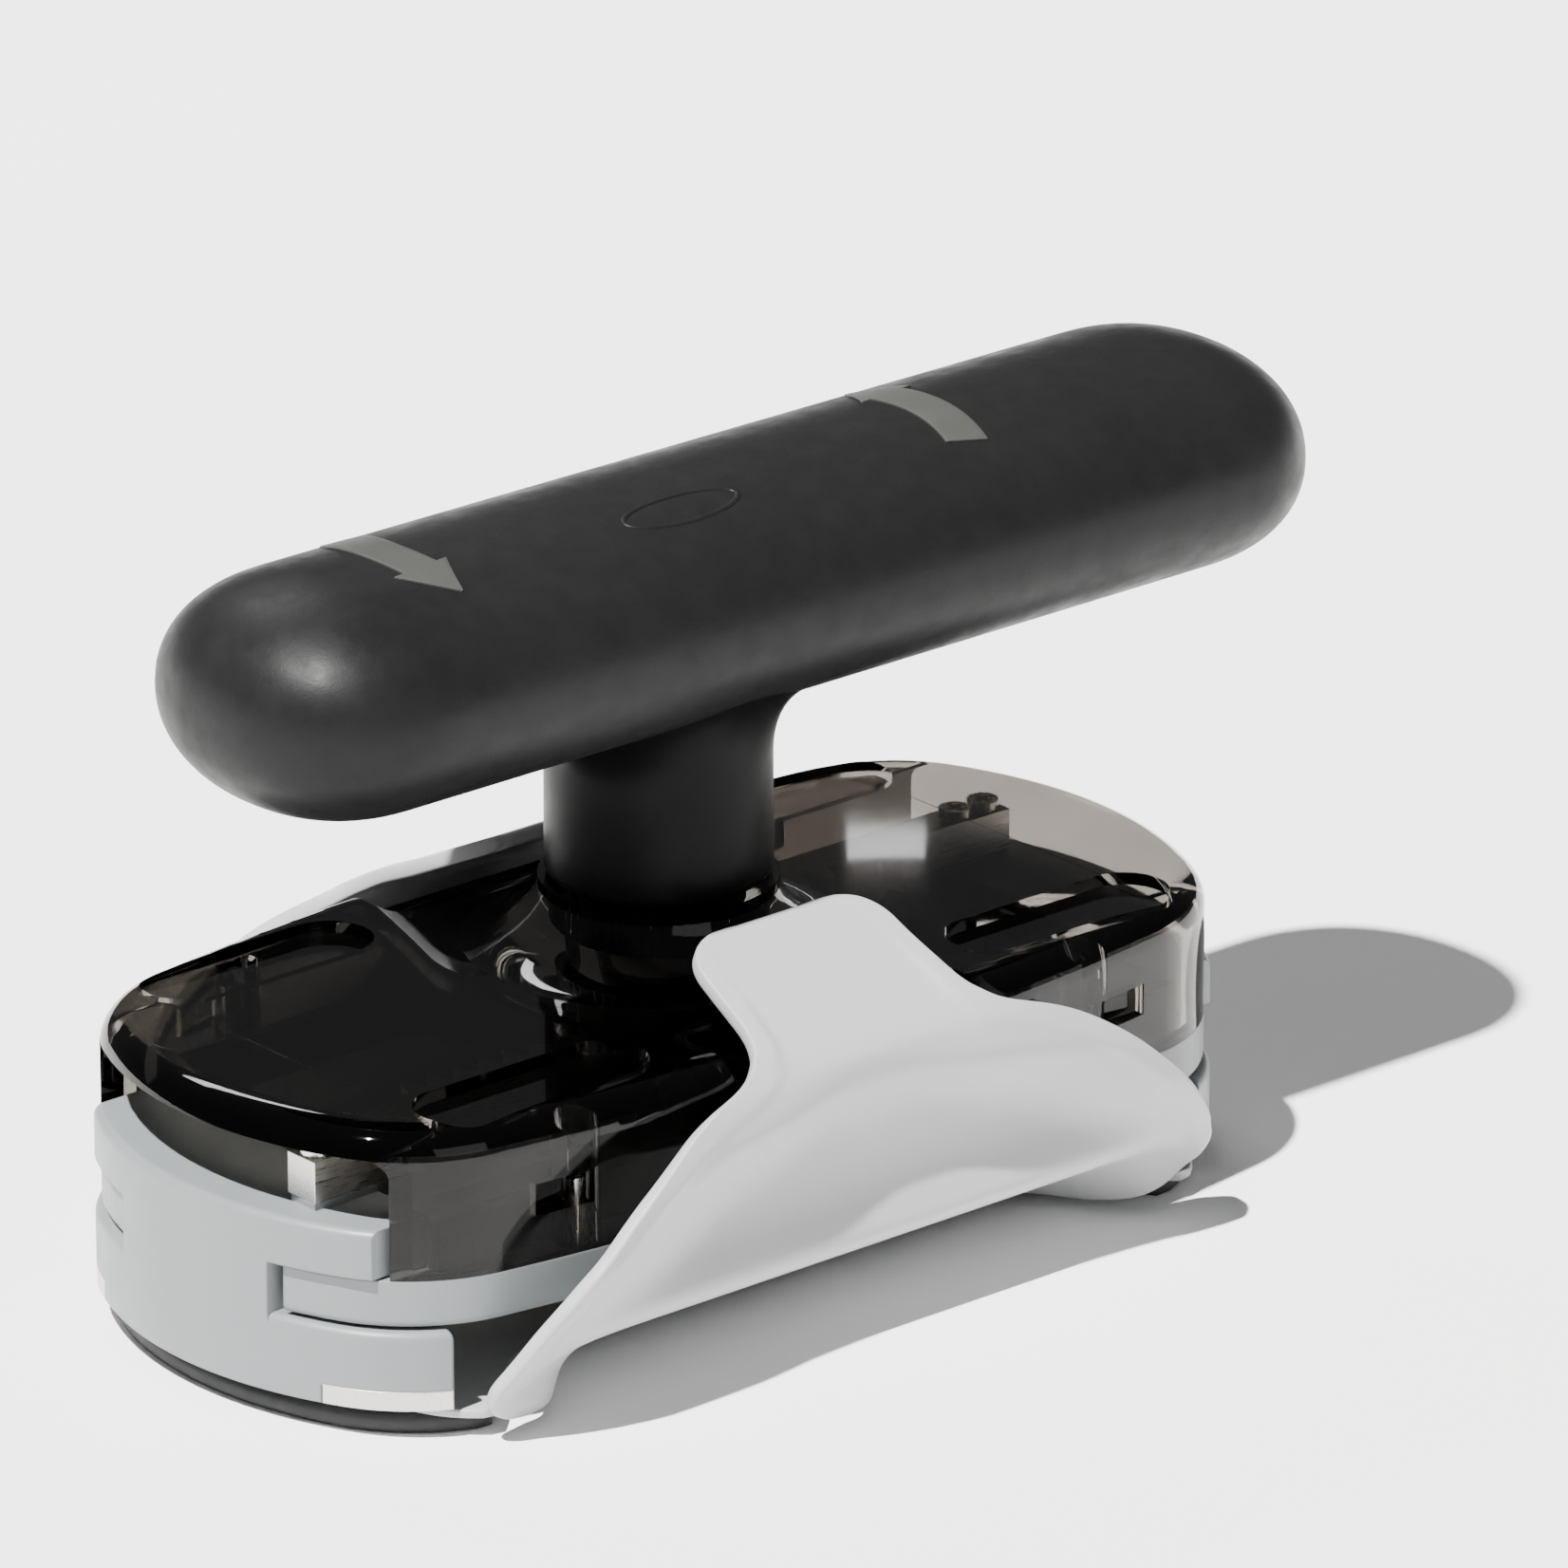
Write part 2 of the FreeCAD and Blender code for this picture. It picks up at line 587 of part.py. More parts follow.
def d_section(radius):
    """Round section with one flat towards +X."""
    x = size("shaft_radius") - size("flat_depth") + (radius - size("shaft_radius"))
    y = math.sqrt(radius * radius - x * x)
    return [Part.Arc(V(x, y, 0), V(-radius, 0, 0), V(x, -y, 0)), line((x, -y), (x, y))]


SHAFT_FOOT = 19.6
SHAFT_HEAD = 88.0
THREAD_DEPTH = 9.0
FOOT_WASHER_RADIUS = 7.6
FOOT_WASHER_HEIGHT = 1.2
END_SCREW_HEAD = 3.6
END_SCREW_LENGTH = 8.0
SPACER_TOP = 38.7
SPACER_WALL = 1.8
THRUST_RADIUS = 9.0
PRESS_FIT = 0.02


def drive_shaft():
    body = new_body("drive_shaft")
    sk = sketch_on(body, "round_sketch", "XY_Plane", None, circle(0, 0, size("shaft_radius")))
    feature = body.newObject("PartDesign::Pad", "round")
    feature.Profile = sk
    feature.Length = SHAFT_HEAD - SHAFT_FOOT
    body.Tip = feature
    doc.recompute()
    # flat that drives the gear and the handle
    r = size("shaft_radius")
    x = r - size("flat_depth")
    pocket(body, "gear_flat", "%f" % (rack_bottom - SHAFT_FOOT - PRESS_FIT),
           "%f" % (size("gear_height") + 2 * PRESS_FIT), rectangle(x, -r - 1, r + 1, r + 1))
    depth = "%f" % THREAD_DEPTH
    pocket(body, "foot_thread", None, depth, circle(0, 0, SCREW_RADIUS))
    pocket(body, "head_thread", "%f" % (SHAFT_HEAD - SHAFT_FOOT - THREAD_DEPTH), depth,
           circle(0, 0, SCREW_RADIUS))
    body.Placement = FreeCAD.Placement(V(0, 0, SHAFT_FOOT), FreeCAD.Rotation())
    parts.append(body)


def foot_screw_and_washer():
    floor = SHAFT_FOOT - FOOT_WASHER_HEIGHT
    washer = Part.makeCylinder(FOOT_WASHER_RADIUS, FOOT_WASHER_HEIGHT, V(0, 0, floor))
    washer = washer.cut(Part.makeCylinder(SCREW_RADIUS + 0.1, FOOT_WASHER_HEIGHT + 1, V(0, 0, floor - 0.5)))
    parts.append(solid_feature("foot_washer", washer))
    parts.append(solid_feature("foot_screw", screw(0, 0, floor - HEAD_HEIGHT, END_SCREW_LENGTH,
                                                   head_radius=END_SCREW_HEAD)))


def spacer_tube():
    """Spacer on the shaft between the gear and the bush, and the washer under the gear."""
    bore = "dims.shaft_radius + %f" % PRESS_FIT
    parts.append(tube("thrust_washer", "%f" % (plate_top + FRAME_HEIGHT), "%f" % rack_bottom,
                      "%f" % THRUST_RADIUS, bore))
    parts.append(tube("shaft_spacer", "%f" % rack_top, "%f" % SPACER_TOP,
                      "dims.shaft_radius + %f" % SPACER_WALL, bore))


STEM_FOOT = 47.4
STEM_HEAD = 73.5
STEM_BEVEL = 0.8


def stem():
    """Hollow stem round the shaft, from just above the collar into the handle."""
    r, bore = size("stem_radius"), size("shaft_radius") + PRESS_FIT
    points = [V(bore, 0, STEM_FOOT), V(r - STEM_BEVEL, 0, STEM_FOOT), V(r, 0, STEM_FOOT + STEM_BEVEL),
              V(r, 0, STEM_HEAD), V(bore, 0, STEM_HEAD)]
    profile = Part.Wire([Part.LineSegment(p, q).toShape() for p, q in zip(points, points[1:] + points[:1])])
    shape = Part.Face(profile).revolve(V(0, 0, 0), V(0, 0, 1), 360)
    shape = shape.Solids[0] if shape.Solids else Part.Solid(shape)
    parts.append(solid_feature("stem", shape))


# ---------------------------------------------------------------- handle
def grip_shape():
    """Elliptic bar with rounded ends: an extrusion between two lofted caps."""
    half = size("handle_length") / 2
    a, b = size("handle_width") / 2, size("handle_thickness") / 2
    e = size("handle_end_length")

    def section(x, scale):
        oval = Part.Ellipse(V(0, 0, 0), a * scale, b * scale)
        upright = FreeCAD.Rotation(V(0, 1, 0), V(0, 0, 1), V(1, 0, 0), "XYZ")
        oval.rotate(FreeCAD.Placement(V(0, 0, 0), upright))
        oval.translate(V(x, 0, 0))
        return Part.Wire([oval.toShape()])
    shape = Part.Face(section(-(half - e), 1.0)).extrude(V(2 * (half - e), 0, 0))
    for side in (-1, 1):
        rings = []
        for i in range(CAP_RINGS + 1):
            angle = math.pi / 2 * CAP_REACH * i / CAP_RINGS
            rings.append(section(side * (half - e + e * math.sin(angle)), math.cos(angle)))
        shape = shape.fuse(Part.makeLoft(rings, True, False))
    shape.translate(V(size("handle_offset"), 0, grip_z))
    return shape


CAP_RINGS = 6
CAP_REACH = 0.93         # share of a quarter turn that the rounded ends cover
CORE_EDGE = 5.0


def core_shape():
    length, width, height = (size(n) for n in ("core_length", "core_width", "core_thickness"))
    bar = Part.makeBox(length, width, height)
    bar = bar.makeFillet(CORE_EDGE, bar.Edges)
    bar.translate(V(size("handle_offset") - length / 2, -width / 2, grip_z - height / 2))
    return bar


def arrow_curves(side):
    """Curved arrow about the stem axis, pointing anticlockwise from above."""
    radius, half_w, head_w, head = ARROW_RADIUS, ARROW_HALF_WIDTH, ARROW_HEAD_HALF, ARROW_HEAD_LENGTH
    a0, a1 = (math.radians(a) for a in ARROW_SWEEP)
    turn = 0.0 if side > 0 else math.pi

    def at(r, a):
        return (r * math.cos(a + turn), r * math.sin(a + turn))
    tip = a1 + head / radius
    mid = (a0 + a1) / 2
    return [arc(at(radius - half_w, a0), at(radius - half_w, mid), at(radius - half_w, a1)),
            line(at(radius - half_w, a1), at(radius - head_w, a1)),
            line(at(radius - head_w, a1), at(radius, tip)),
            line(at(radius, tip), at(radius + head_w, a1)),
            line(at(radius + head_w, a1), at(radius + half_w, a1)),
            arc(at(radius + half_w, a1), at(radius + half_w, mid), at(radius + half_w, a0)),
            line(at(radius + half_w, a0), at(radius - half_w, a0))]


ARROW_RADIUS = 41.0
ARROW_DEPTH = 0.5
ARROW_HALF_WIDTH = 2.8
ARROW_HEAD_HALF = 4.3
ARROW_HEAD_LENGTH = 6.4
ARROW_SWEEP = (-15.5, 7.0)


def handle():
    outer = grip_shape()
    core = core_shape()
    lowered = outer.copy()
    lowered.translate(V(0, 0, -ARROW_DEPTH))
    arrows = []
    for side in (-1, 1):
        column = extruded(arrow_curves(side), grip_z + 5, grip_z + 20)
        arrows.append(outer.common(column).cut(lowered).Solids[0])
    arrow_set = Part.makeCompound(arrows)
    stem_hole = Part.makeCylinder(size("stem_radius"), STEM_HEAD - 60, V(0, 0, 60))
    shaft_hole = Part.makeCylinder(size("shaft_radius") + PRESS_FIT, SHAFT_HEAD - 60, V(0, 0, 60))
    head_hole = Part.makeCylinder(END_SCREW_HEAD + 0.2, HEAD_HOLE_DEPTH, V(0, 0, SHAFT_HEAD))
    grip = outer.cut(core).cut(stem_hole).cut(shaft_hole).cut(head_hole)
    for solid in arrows:
        grip = grip.cut(solid)
    core = core.cut(shaft_hole).cut(stem_hole).cut(head_hole)
    parts.append(solid_feature("handle_core", core.Solids[0]))
    parts.append(solid_feature("handle_grip", grip.Solids[0]))
    parts.append(solid_feature("turn_arrows", arrow_set))
    parts.append(solid_feature("handle_screw", screw(0, 0, SHAFT_HEAD + HEAD_HEIGHT, END_SCREW_LENGTH,
                                                     up=False, head_radius=END_SCREW_HEAD)))


HEAD_HOLE_DEPTH = 4.2


# ---------------------------------------------------------------- jaws
def jaw(label, side):
    """Jaw: toothed lower bar, web through the plate slot and block inside the cover."""
    inner = jaw_inner
    floor = size("jaw_floor")
    low_top = size("plate_bottom") - gap

    def slab(z0, z1, x_in, half):
        piece = extruded(oval_outline(jaw_length, jaw_width), z0, z1)
        box = Part.makeBox(200, 2 * half, z1 - z0)
        box.translate(V(-200 - x_in, -half, z0))
        return piece.common(box)
    low = slab(floor, low_top, inner, 60)
    rim = [e for e in low.Edges if at_height(low_top)(e) and e.BoundBox.XMin < -inner - 1]
    low = low.makeFillet(JAW_EDGE, rim)
    # gripping face: a shallow vee that centres the lid
    v = size("vee_depth")
    vee = extruded(polygon([(-inner + 1, -VEE_HALF), (-inner - v, 0), (-inner + 1, VEE_HALF)]), 0, 40)
    low = low.cut(vee)
    seat = Part.makeBox(TOOTH_PLATE_DEPTH + 1, 100, size("tooth_plate_thickness") + 1)
    seat.translate(V(-inner - TOOTH_PLATE_DEPTH, -50, floor - 1))
    low = low.cut(seat)
    web = slab(low_top - 2.0, block_bottom + 1.0, inner + 3.0, size("web_half_width"))
    block = slab(block_bottom, block_top, BLOCK_INNER, size("block_half_width"))
    rim = [e for e in block.Edges if at_height(block_top)(e) and e.BoundBox.XMax < -inner]
    block = block.makeFillet(JAW_EDGE, rim)
    shape = low.fuse(web).fuse(block).removeSplitter()
    # raised seat that carries this jaw's own rack clear of the other block
    y0 = rack_root + 0.6
    rest = Part.makeBox(REST_LENGTH, rack_back - y0, RACK_LIFT + 0.5)
    rest.translate(V(-BLOCK_INNER - REST_LENGTH, -rack_back, block_top - 0.5))
    shape = shape.fuse(rest).removeSplitter()
    for x, y in RACK_SCREWS:
        shape = shape.cut(Part.makeCylinder(SMALL_SCREW, 8, V(x, y, rack_bottom - 6)))
    for x, y in PLATE_SCREWS:
        shape = shape.cut(Part.makeCylinder(SMALL_SCREW, 7, V(x, y, floor)))
    shape = shape.Solids[0]
    place(label, shape, side)


def place(label, shape, side):
    """Left parts stay; right parts are the left ones turned half way round the stem."""
    if side > 0:
        shape = shape.copy()
        shape.rotate(V(0, 0, 0), V(0, 0, 1), 180)
    parts.append(solid_feature(label, shape))


JAW_EDGE = 1.2
VEE_HALF = 33.0
BLOCK_INNER = jaw_inner - 1.5
REST_LENGTH = 9.5
TOOTH_PLATE_DEPTH = 10.4
SMALL_SCREW = 1.1
RACK_SCREWS = [(-BLOCK_INNER - 7.2, -rack_root - 2.5), (-BLOCK_INNER - 2.6, -rack_root - 2.5)]
PLATE_SCREWS = [(-66.0, -19.0), (-66.0, 19.0)]
PLATE_SCREW_LENGTH = 5.0
CONE_RADIUS = 2.4
CONE_HEIGHT = 1.3
SLOT_LENGTH = 3.0
SLOT_WIDTH = 0.6
RACK_SCREW_HEAD = 2.0
RACK_COUNTERBORE = 0.8


def tooth_plate(label, side):
    """Steel plate under the jaw, with saw teeth along the vee."""
    inner, v, t = jaw_inner, size("vee_depth"), size("tooth_plate_thickness")
    floor = size("jaw_floor")
    sheet_plan = extruded(oval_outline(jaw_length, jaw_width), floor, floor + t)
    box = Part.makeBox(TOOTH_PLATE_DEPTH, 100, t)
    box.translate(V(-inner - TOOTH_PLATE_DEPTH, -50, floor))
    plate = sheet_plan.common(box)
    pitch, height = size("tooth_pitch"), size("tooth_height")
    count = int(VEE_HALF * 2 / pitch / 2) * 2
    edge = []
    for i in range(count + 1):
        y = -VEE_HALF + i * 2 * VEE_HALF / count
        x = -inner - v + (v + 1) * abs(y) / VEE_HALF
        edge.append((x, y))
        if i < count:
            y += VEE_HALF / count
            edge.append((-inner - v + (v + 1) * abs(y) / VEE_HALF - height, y))
    cutter = extruded(polygon(edge + [(20, VEE_HALF), (20, -VEE_HALF)]), floor - 1, floor + t + 1)
    plate = plate.cut(cutter)
    for x, y in PLATE_SCREWS:
        plate = plate.cut(Part.makeCylinder(SMALL_SCREW + 0.1, 9, V(x, y, floor - 1)))
        plate = plate.cut(Part.makeCone(CONE_RADIUS, SMALL_SCREW + 0.1, CONE_HEIGHT, V(x, y, floor)))
    place(label, plate.Solids[0], side)


def plate_screws(label, side):
    floor = size("jaw_floor")
    solids = []
    for x, y in PLATE_SCREWS:
        head = Part.makeCone(CONE_RADIUS - 0.05, SMALL_SCREW, CONE_HEIGHT - 0.05, V(x, y, floor + 0.05))
        shank = Part.makeCylinder(SMALL_SCREW, PLATE_SCREW_LENGTH, V(x, y, floor + CONE_HEIGHT))
        slot = Part.makeBox(SLOT_LENGTH, SLOT_WIDTH, SLOT_WIDTH)
        slot.translate(V(x - SLOT_LENGTH / 2, y - SLOT_WIDTH / 2, floor))
        solids.append(head.fuse(shank).cut(slot))
    place(label, Part.makeCompound(solids), side)


def rack(label, side):
    """Steel rack, teeth towards the pinion, screwed on the jaw's raised seat."""
    x0 = -BLOCK_INNER - REST_LENGTH
    y0, y1 = -rack_back, -rack_root
    bar = Part.makeBox(RACK_TIP - x0, y1 - y0, size("gear_height"))
    bar.translate(V(x0, y0, rack_bottom))
    pitch = math.pi * size("gear_module")
    slope = math.tan(math.radians(20))
    play = size("rack_play")
    n = int((RACK_TIP - 0.6 * pitch) / pitch)
    first = -int((size("jaw_travel") + 2 * pitch) / pitch)
    teeth = []
    for i in range(first, n + 1):
        x = i * pitch
        half = pitch / 4 - play / 2
        top = half - addendum * slope
        foot = half + dedendum * slope
        pts = [(x - foot, -pitch_radius - dedendum - 0.01), (x + foot, -pitch_radius - dedendum - 0.01),
               (x + top, -pitch_radius + addendum), (x - top, -pitch_radius + addendum)]
        teeth.append(extruded(polygon(pts), rack_bottom, rack_top))
    shape = bar.multiFuse(teeth).removeSplitter()
    for x, y in RACK_SCREWS:
        shape = shape.cut(Part.makeCylinder(SMALL_SCREW + 0.1, 20, V(x, y, rack_bottom - 1)))
        shape = shape.cut(Part.makeCylinder(RACK_SCREW_HEAD + 0.1, 2, V(x, y, rack_top - RACK_COUNTERBORE)))
    place(label, shape.Solids[0], side)


def rack_screws(label, side):
    solids = []
    for x, y in RACK_SCREWS:
        solids.append(screw(x, y, rack_top - RACK_COUNTERBORE + HEAD_HEIGHT, rack_top - rack_bottom + 3.0,
                            up=False, head_radius=RACK_SCREW_HEAD, radius=SMALL_SCREW))
    place(label, Part.makeCompound(solids), side)


# ---------------------------------------------------------------- build
base_pad()
pad_sheet()
wing("front_wing", -1)
wing("back_wing", 1)
base_plate()
housing_screws()
inner_frame()
top_cover()
collar_bush()
pinion_gear()
drive_shaft()
foot_screw_and_washer()
spacer_tube()
stem()
handle()
for label, side in (("left", -1), ("right", 1)):
    jaw("jaw_" + label, side)
    tooth_plate("tooth_plate_" + label, side)
    plate_screws("tooth_plate_screws_" + label, side)
    rack("rack_" + label, side)
    rack_screws("rack_screws_" + label, side)
doc.recompute()

for item in doc.Objects:
    if "Invalid" in item.State or "Error" in item.State:
        raise ValueError("%s is %s" % (item.Label, item.State))
for item in parts:
    shape = item.Shape
    if shape.isNull() or not shape.isValid():
        raise ValueError("%s has a bad shape" % item.Label)
    shape.exportStep("parts/%s.step" % item.Label)
    print(item.Label, len(shape.Solids), round(shape.Volume, 1))
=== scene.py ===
import math

import bmesh
import bpy
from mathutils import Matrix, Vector


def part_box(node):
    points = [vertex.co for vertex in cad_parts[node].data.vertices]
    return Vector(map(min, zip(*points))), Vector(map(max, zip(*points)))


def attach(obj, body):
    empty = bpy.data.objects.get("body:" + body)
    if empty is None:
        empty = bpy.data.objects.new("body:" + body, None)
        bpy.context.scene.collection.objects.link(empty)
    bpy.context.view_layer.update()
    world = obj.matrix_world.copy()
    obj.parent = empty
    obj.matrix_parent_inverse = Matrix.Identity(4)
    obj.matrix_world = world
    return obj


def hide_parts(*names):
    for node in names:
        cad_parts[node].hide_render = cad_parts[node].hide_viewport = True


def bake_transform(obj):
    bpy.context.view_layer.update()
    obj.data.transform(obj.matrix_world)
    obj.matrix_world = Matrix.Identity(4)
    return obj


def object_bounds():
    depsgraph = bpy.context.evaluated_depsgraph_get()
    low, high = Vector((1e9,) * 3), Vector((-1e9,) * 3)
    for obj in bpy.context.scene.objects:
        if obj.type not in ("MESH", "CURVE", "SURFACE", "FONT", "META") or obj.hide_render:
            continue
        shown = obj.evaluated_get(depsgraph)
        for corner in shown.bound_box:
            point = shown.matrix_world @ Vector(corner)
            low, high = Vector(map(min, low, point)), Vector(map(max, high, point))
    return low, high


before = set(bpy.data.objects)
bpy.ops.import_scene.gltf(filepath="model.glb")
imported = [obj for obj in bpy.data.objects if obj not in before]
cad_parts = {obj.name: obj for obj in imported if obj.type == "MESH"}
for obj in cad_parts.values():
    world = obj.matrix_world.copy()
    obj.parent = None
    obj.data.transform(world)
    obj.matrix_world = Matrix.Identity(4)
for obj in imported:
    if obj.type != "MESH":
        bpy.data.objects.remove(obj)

CAD_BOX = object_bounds()
MM = 0.001


# ------------------------------------------------------------------ camera
AZIMUTH, ELEVATION = math.radians(-41), math.radians(21)
DISTANCE = 1.68
FOCAL_LENGTH = 318.2
SENSOR_WIDTH = 36
AIM_SHIFT = Vector((13.1, 4.8, 2.1))
low, high = (Vector(corner) for corner in CAD_BOX)
aim = (low + high) / 2 + AIM_SHIFT * MM
back = Vector((math.sin(AZIMUTH) * math.cos(ELEVATION), -math.cos(AZIMUTH) * math.cos(ELEVATION),
               math.sin(ELEVATION)))
lens = bpy.data.cameras.new("camera")
lens.lens = FOCAL_LENGTH
lens.sensor_width = SENSOR_WIDTH
lens.clip_end = 30
camera = bpy.data.objects.new("camera", lens)
camera.location = aim + back * DISTANCE
camera.rotation_euler = back.to_track_quat("Z", "Y").to_euler()
bpy.context.scene.collection.objects.link(camera)
bpy.context.scene.camera = camera


# ------------------------------------------------------------------ materials
class Finish:
    """A Principled material with its texture coordinates, ready for more nodes."""

    def __init__(self, name, roughness=0.5, metallic=0.0, specular=0.4):
        self.material = bpy.data.materials.new(name)
        self.material.use_nodes = True
        self.tree = self.material.node_tree
        self.shader = self.tree.nodes["Principled BSDF"]
        self.shader.inputs["Roughness"].default_value = roughness
        self.shader.inputs["Metallic"].default_value = metallic
        self.shader.inputs["Specular IOR Level"].default_value = specular
        self.place = self.node("ShaderNodeTexCoord").outputs["Object"]

    def node(self, kind, **values):
        made = self.tree.nodes.new(kind)
        for key, value in values.items():
            if key in made.inputs:
                made.inputs[key].default_value = value
            else:
                setattr(made, key, value)
        return made

    def link(self, source, target):
        self.tree.links.new(source, target)

    def noise(self, scale, detail=4.0, roughness=0.55, stretch=None):
        made = self.node("ShaderNodeTexNoise", Scale=scale, Detail=detail, Roughness=roughness)
        place = self.place
        if stretch:
            mapping = self.node("ShaderNodeMapping", Scale=stretch)
            self.link(place, mapping.inputs["Vector"])
            place = mapping.outputs["Vector"]
        self.link(place, made.inputs["Vector"])
        return made.outputs["Fac"]

    def ramp(self, source, stops):
        made = self.node("ShaderNodeValToRGB")
        elements = made.color_ramp.elements
        for element, (at, colour) in zip(elements, stops[:2]):
            element.position, element.color = at, (*colour, 1)
        for at, colour in stops[2:]:
            elements.new(at).color = (*colour, 1)
        self.link(source, made.inputs["Fac"])
        return made.outputs["Color"]

    def colour(self, source, dark, light, spread=0.22):
        stops = [(0.5 - spread, dark), (0.5 + spread, light)]
        self.link(self.ramp(source, stops), self.shader.inputs["Base Color"])

    def roughness(self, source, lowest, highest):
        made = self.node("ShaderNodeMapRange")
        made.inputs["From Min"].default_value = 0.3
        made.inputs["From Max"].default_value = 0.7
        made.inputs["To Min"].default_value = lowest
        made.inputs["To Max"].default_value = highest
        self.link(source, made.inputs["Value"])
        self.link(made.outputs["Result"], self.shader.inputs["Roughness"])

    def bump(self, layers, edge=0.0):
        """Bump layers (source, strength, distance in mm); edge rounds sharp CAD edges, in mm."""
        normal = None
        if edge:
            made = self.node("ShaderNodeBevel", samples=6)
            made.inputs["Radius"].default_value = edge * MM
            normal = made.outputs["Normal"]
        for source, strength, distance in layers:
            made = self.node("ShaderNodeBump")
            made.inputs["Strength"].default_value = strength
            made.inputs["Distance"].default_value = distance * MM
            self.link(source, made.inputs["Height"])
            if normal:
                self.link(normal, made.inputs["Normal"])
            normal = made.outputs["Normal"]
        self.link(normal, self.shader.inputs["Normal"])


def shade(colour, factor):
    return tuple(c * factor for c in colour)


def moulded(name, colour, rough, grain=900.0, bump=0.12, edge=0.35, vary=0.08, specular=0.4):
    """Moulded plastic: slow colour drift, fine spark-eroded grain, uneven polish."""
    finish = Finish(name, rough, specular=specular)
    cloud = finish.noise(28, 5)
    grains = finish.noise(grain, 3)
    finish.colour(cloud, shade(colour, 1 - vary), shade(colour, 1 + vary))
    finish.roughness(finish.noise(110, 4), rough - 0.07, rough + 0.09)
    finish.bump([(grains, bump, 0.05), (finish.noise(60, 2), 0.05, 0.2)], edge)
    return finish.material


def rubber(name, colour, rough, grain=1500.0, bump=0.3, vary=0.1, specular=0.34, sheen=0.05):
    """Matt elastomer: very fine grain and a faint bloom."""
    finish = Finish(name, rough, specular=specular)
    finish.colour(finish.noise(22, 6), shade(colour, 1 - vary), shade(colour, 1 + vary))
    finish.roughness(finish.noise(260, 5), rough - 0.08, rough + 0.08)
    finish.bump([(finish.noise(grain, 4, 0.7), bump, 0.06), (finish.noise(45, 2), 0.04, 0.3)])
    finish.shader.inputs["Sheen Weight"].default_value = sheen
    finish.shader.inputs["Sheen Roughness"].default_value = 0.4
    return finish.material


def steel(name, colour, rough, along=(1.0, 18.0, 18.0)):
    """Brushed stainless: grain stretched along X, a few brighter streaks."""
    finish = Finish(name, rough, metallic=1.0)
    brushed = finish.noise(220, 6, 0.7, stretch=along)
    finish.colour(brushed, shade(colour, 0.8), shade(colour, 1.12), 0.2)
    finish.roughness(brushed, rough - 0.08, rough + 0.14)
    finish.bump([(brushed, 0.12, 0.03)], 0.2)
    return finish.material


def smoked(name):
    """Smoked clear cover: tinted in the bulk, polished, with faint flow marks and dust."""
    finish = Finish(name, 0.03)
    inputs = finish.shader.inputs
    flow = finish.noise(16, 3, stretch=(0.5, 1.4, 1.0))
    finish.colour(flow, (0.120, 0.109, 0.098), (0.160, 0.146, 0.132))
    finish.roughness(finish.noise(40, 3), 0.02, 0.05)
    inputs["Transmission Weight"].default_value = 1.0
    inputs["IOR"].default_value = 1.32
    finish.bump([(flow, 0.035, 0.5)])
    return finish.material


GRIP_BLACK = rubber("soft_touch_black", (0.0075, 0.0075, 0.0078), 0.44, grain=1700, bump=0.38,
                    vary=0.16, specular=0.13, sheen=0.0)
# stem: black plastic, its colour darkened well below the grip's black as painted shade for the handle's shadow
# over it
STEM_BLACK_PAINTED_SHADE = moulded("stem_black_painted_shade", (0.0028, 0.0028, 0.0030), 0.36, grain=1300, bump=0.16,
                     specular=0.07)
ARROW_GREY = moulded("arrow_grey", (0.038, 0.040, 0.036), 0.46, grain=1300, bump=0.3, edge=0.0, vary=0.12)
BLACK = moulded("frame_black", (0.012, 0.012, 0.013), 0.38, vary=0.2)
COVER = smoked("smoked_clear")
PALE = moulded("pale_blue_grey", (0.172, 0.188, 0.195), 0.40, grain=1100, bump=0.2, edge=0.45, vary=0.03)
WHITE = moulded("gear_white", (0.70, 0.69, 0.65), 0.35)
STEEL = steel("brushed_stainless", (0.60, 0.585, 0.56), 0.30)
BRIGHT = steel("bright_steel", (0.72, 0.70, 0.66), 0.24, along=(14.0, 14.0, 1.0))
PAD_BLACK = rubber("pad_dark_rubber", (0.022, 0.023, 0.024), 0.66, grain=1100, bump=0.5)
WING_GREY = rubber("wing_pale_rubber", (0.370, 0.377, 0.380), 0.46, grain=1900, bump=0.12, vary=0.025)

NODE_FINISH = {
    "base_plate": PALE, "jaw_left": PALE, "jaw_right": PALE,
    "housing_screws": BRIGHT, "foot_screw": BRIGHT, "handle_screw": BRIGHT,
    "rack_screws_left": BRIGHT, "rack_screws_right": BRIGHT,
    "tooth_plate_screws_left": BRIGHT, "tooth_plate_screws_right": BRIGHT,
    "inner_frame": BLACK, "handle_core": BLACK, "stem": STEM_BLACK_PAINTED_SHADE, "handle_grip": GRIP_BLACK,
    "top_cover": COVER, "collar_bush": BLACK,
    "pinion_gear": WHITE, "thrust_washer": WHITE, "shaft_spacer": WHITE,
    "drive_shaft": STEEL, "foot_washer": STEEL,
    "rack_left": STEEL, "rack_right": STEEL, "tooth_plate_left": STEEL, "tooth_plate_right": STEEL,
    "turn_arrows": ARROW_GREY, "base_pad": PAD_BLACK, "pad_sheet": WING_GREY,
    "front_wing": WING_GREY, "back_wing": WING_GREY,
}
for name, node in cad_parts.items():
    node.data.materials.clear()
    node.data.materials.append(NODE_FINISH[name])


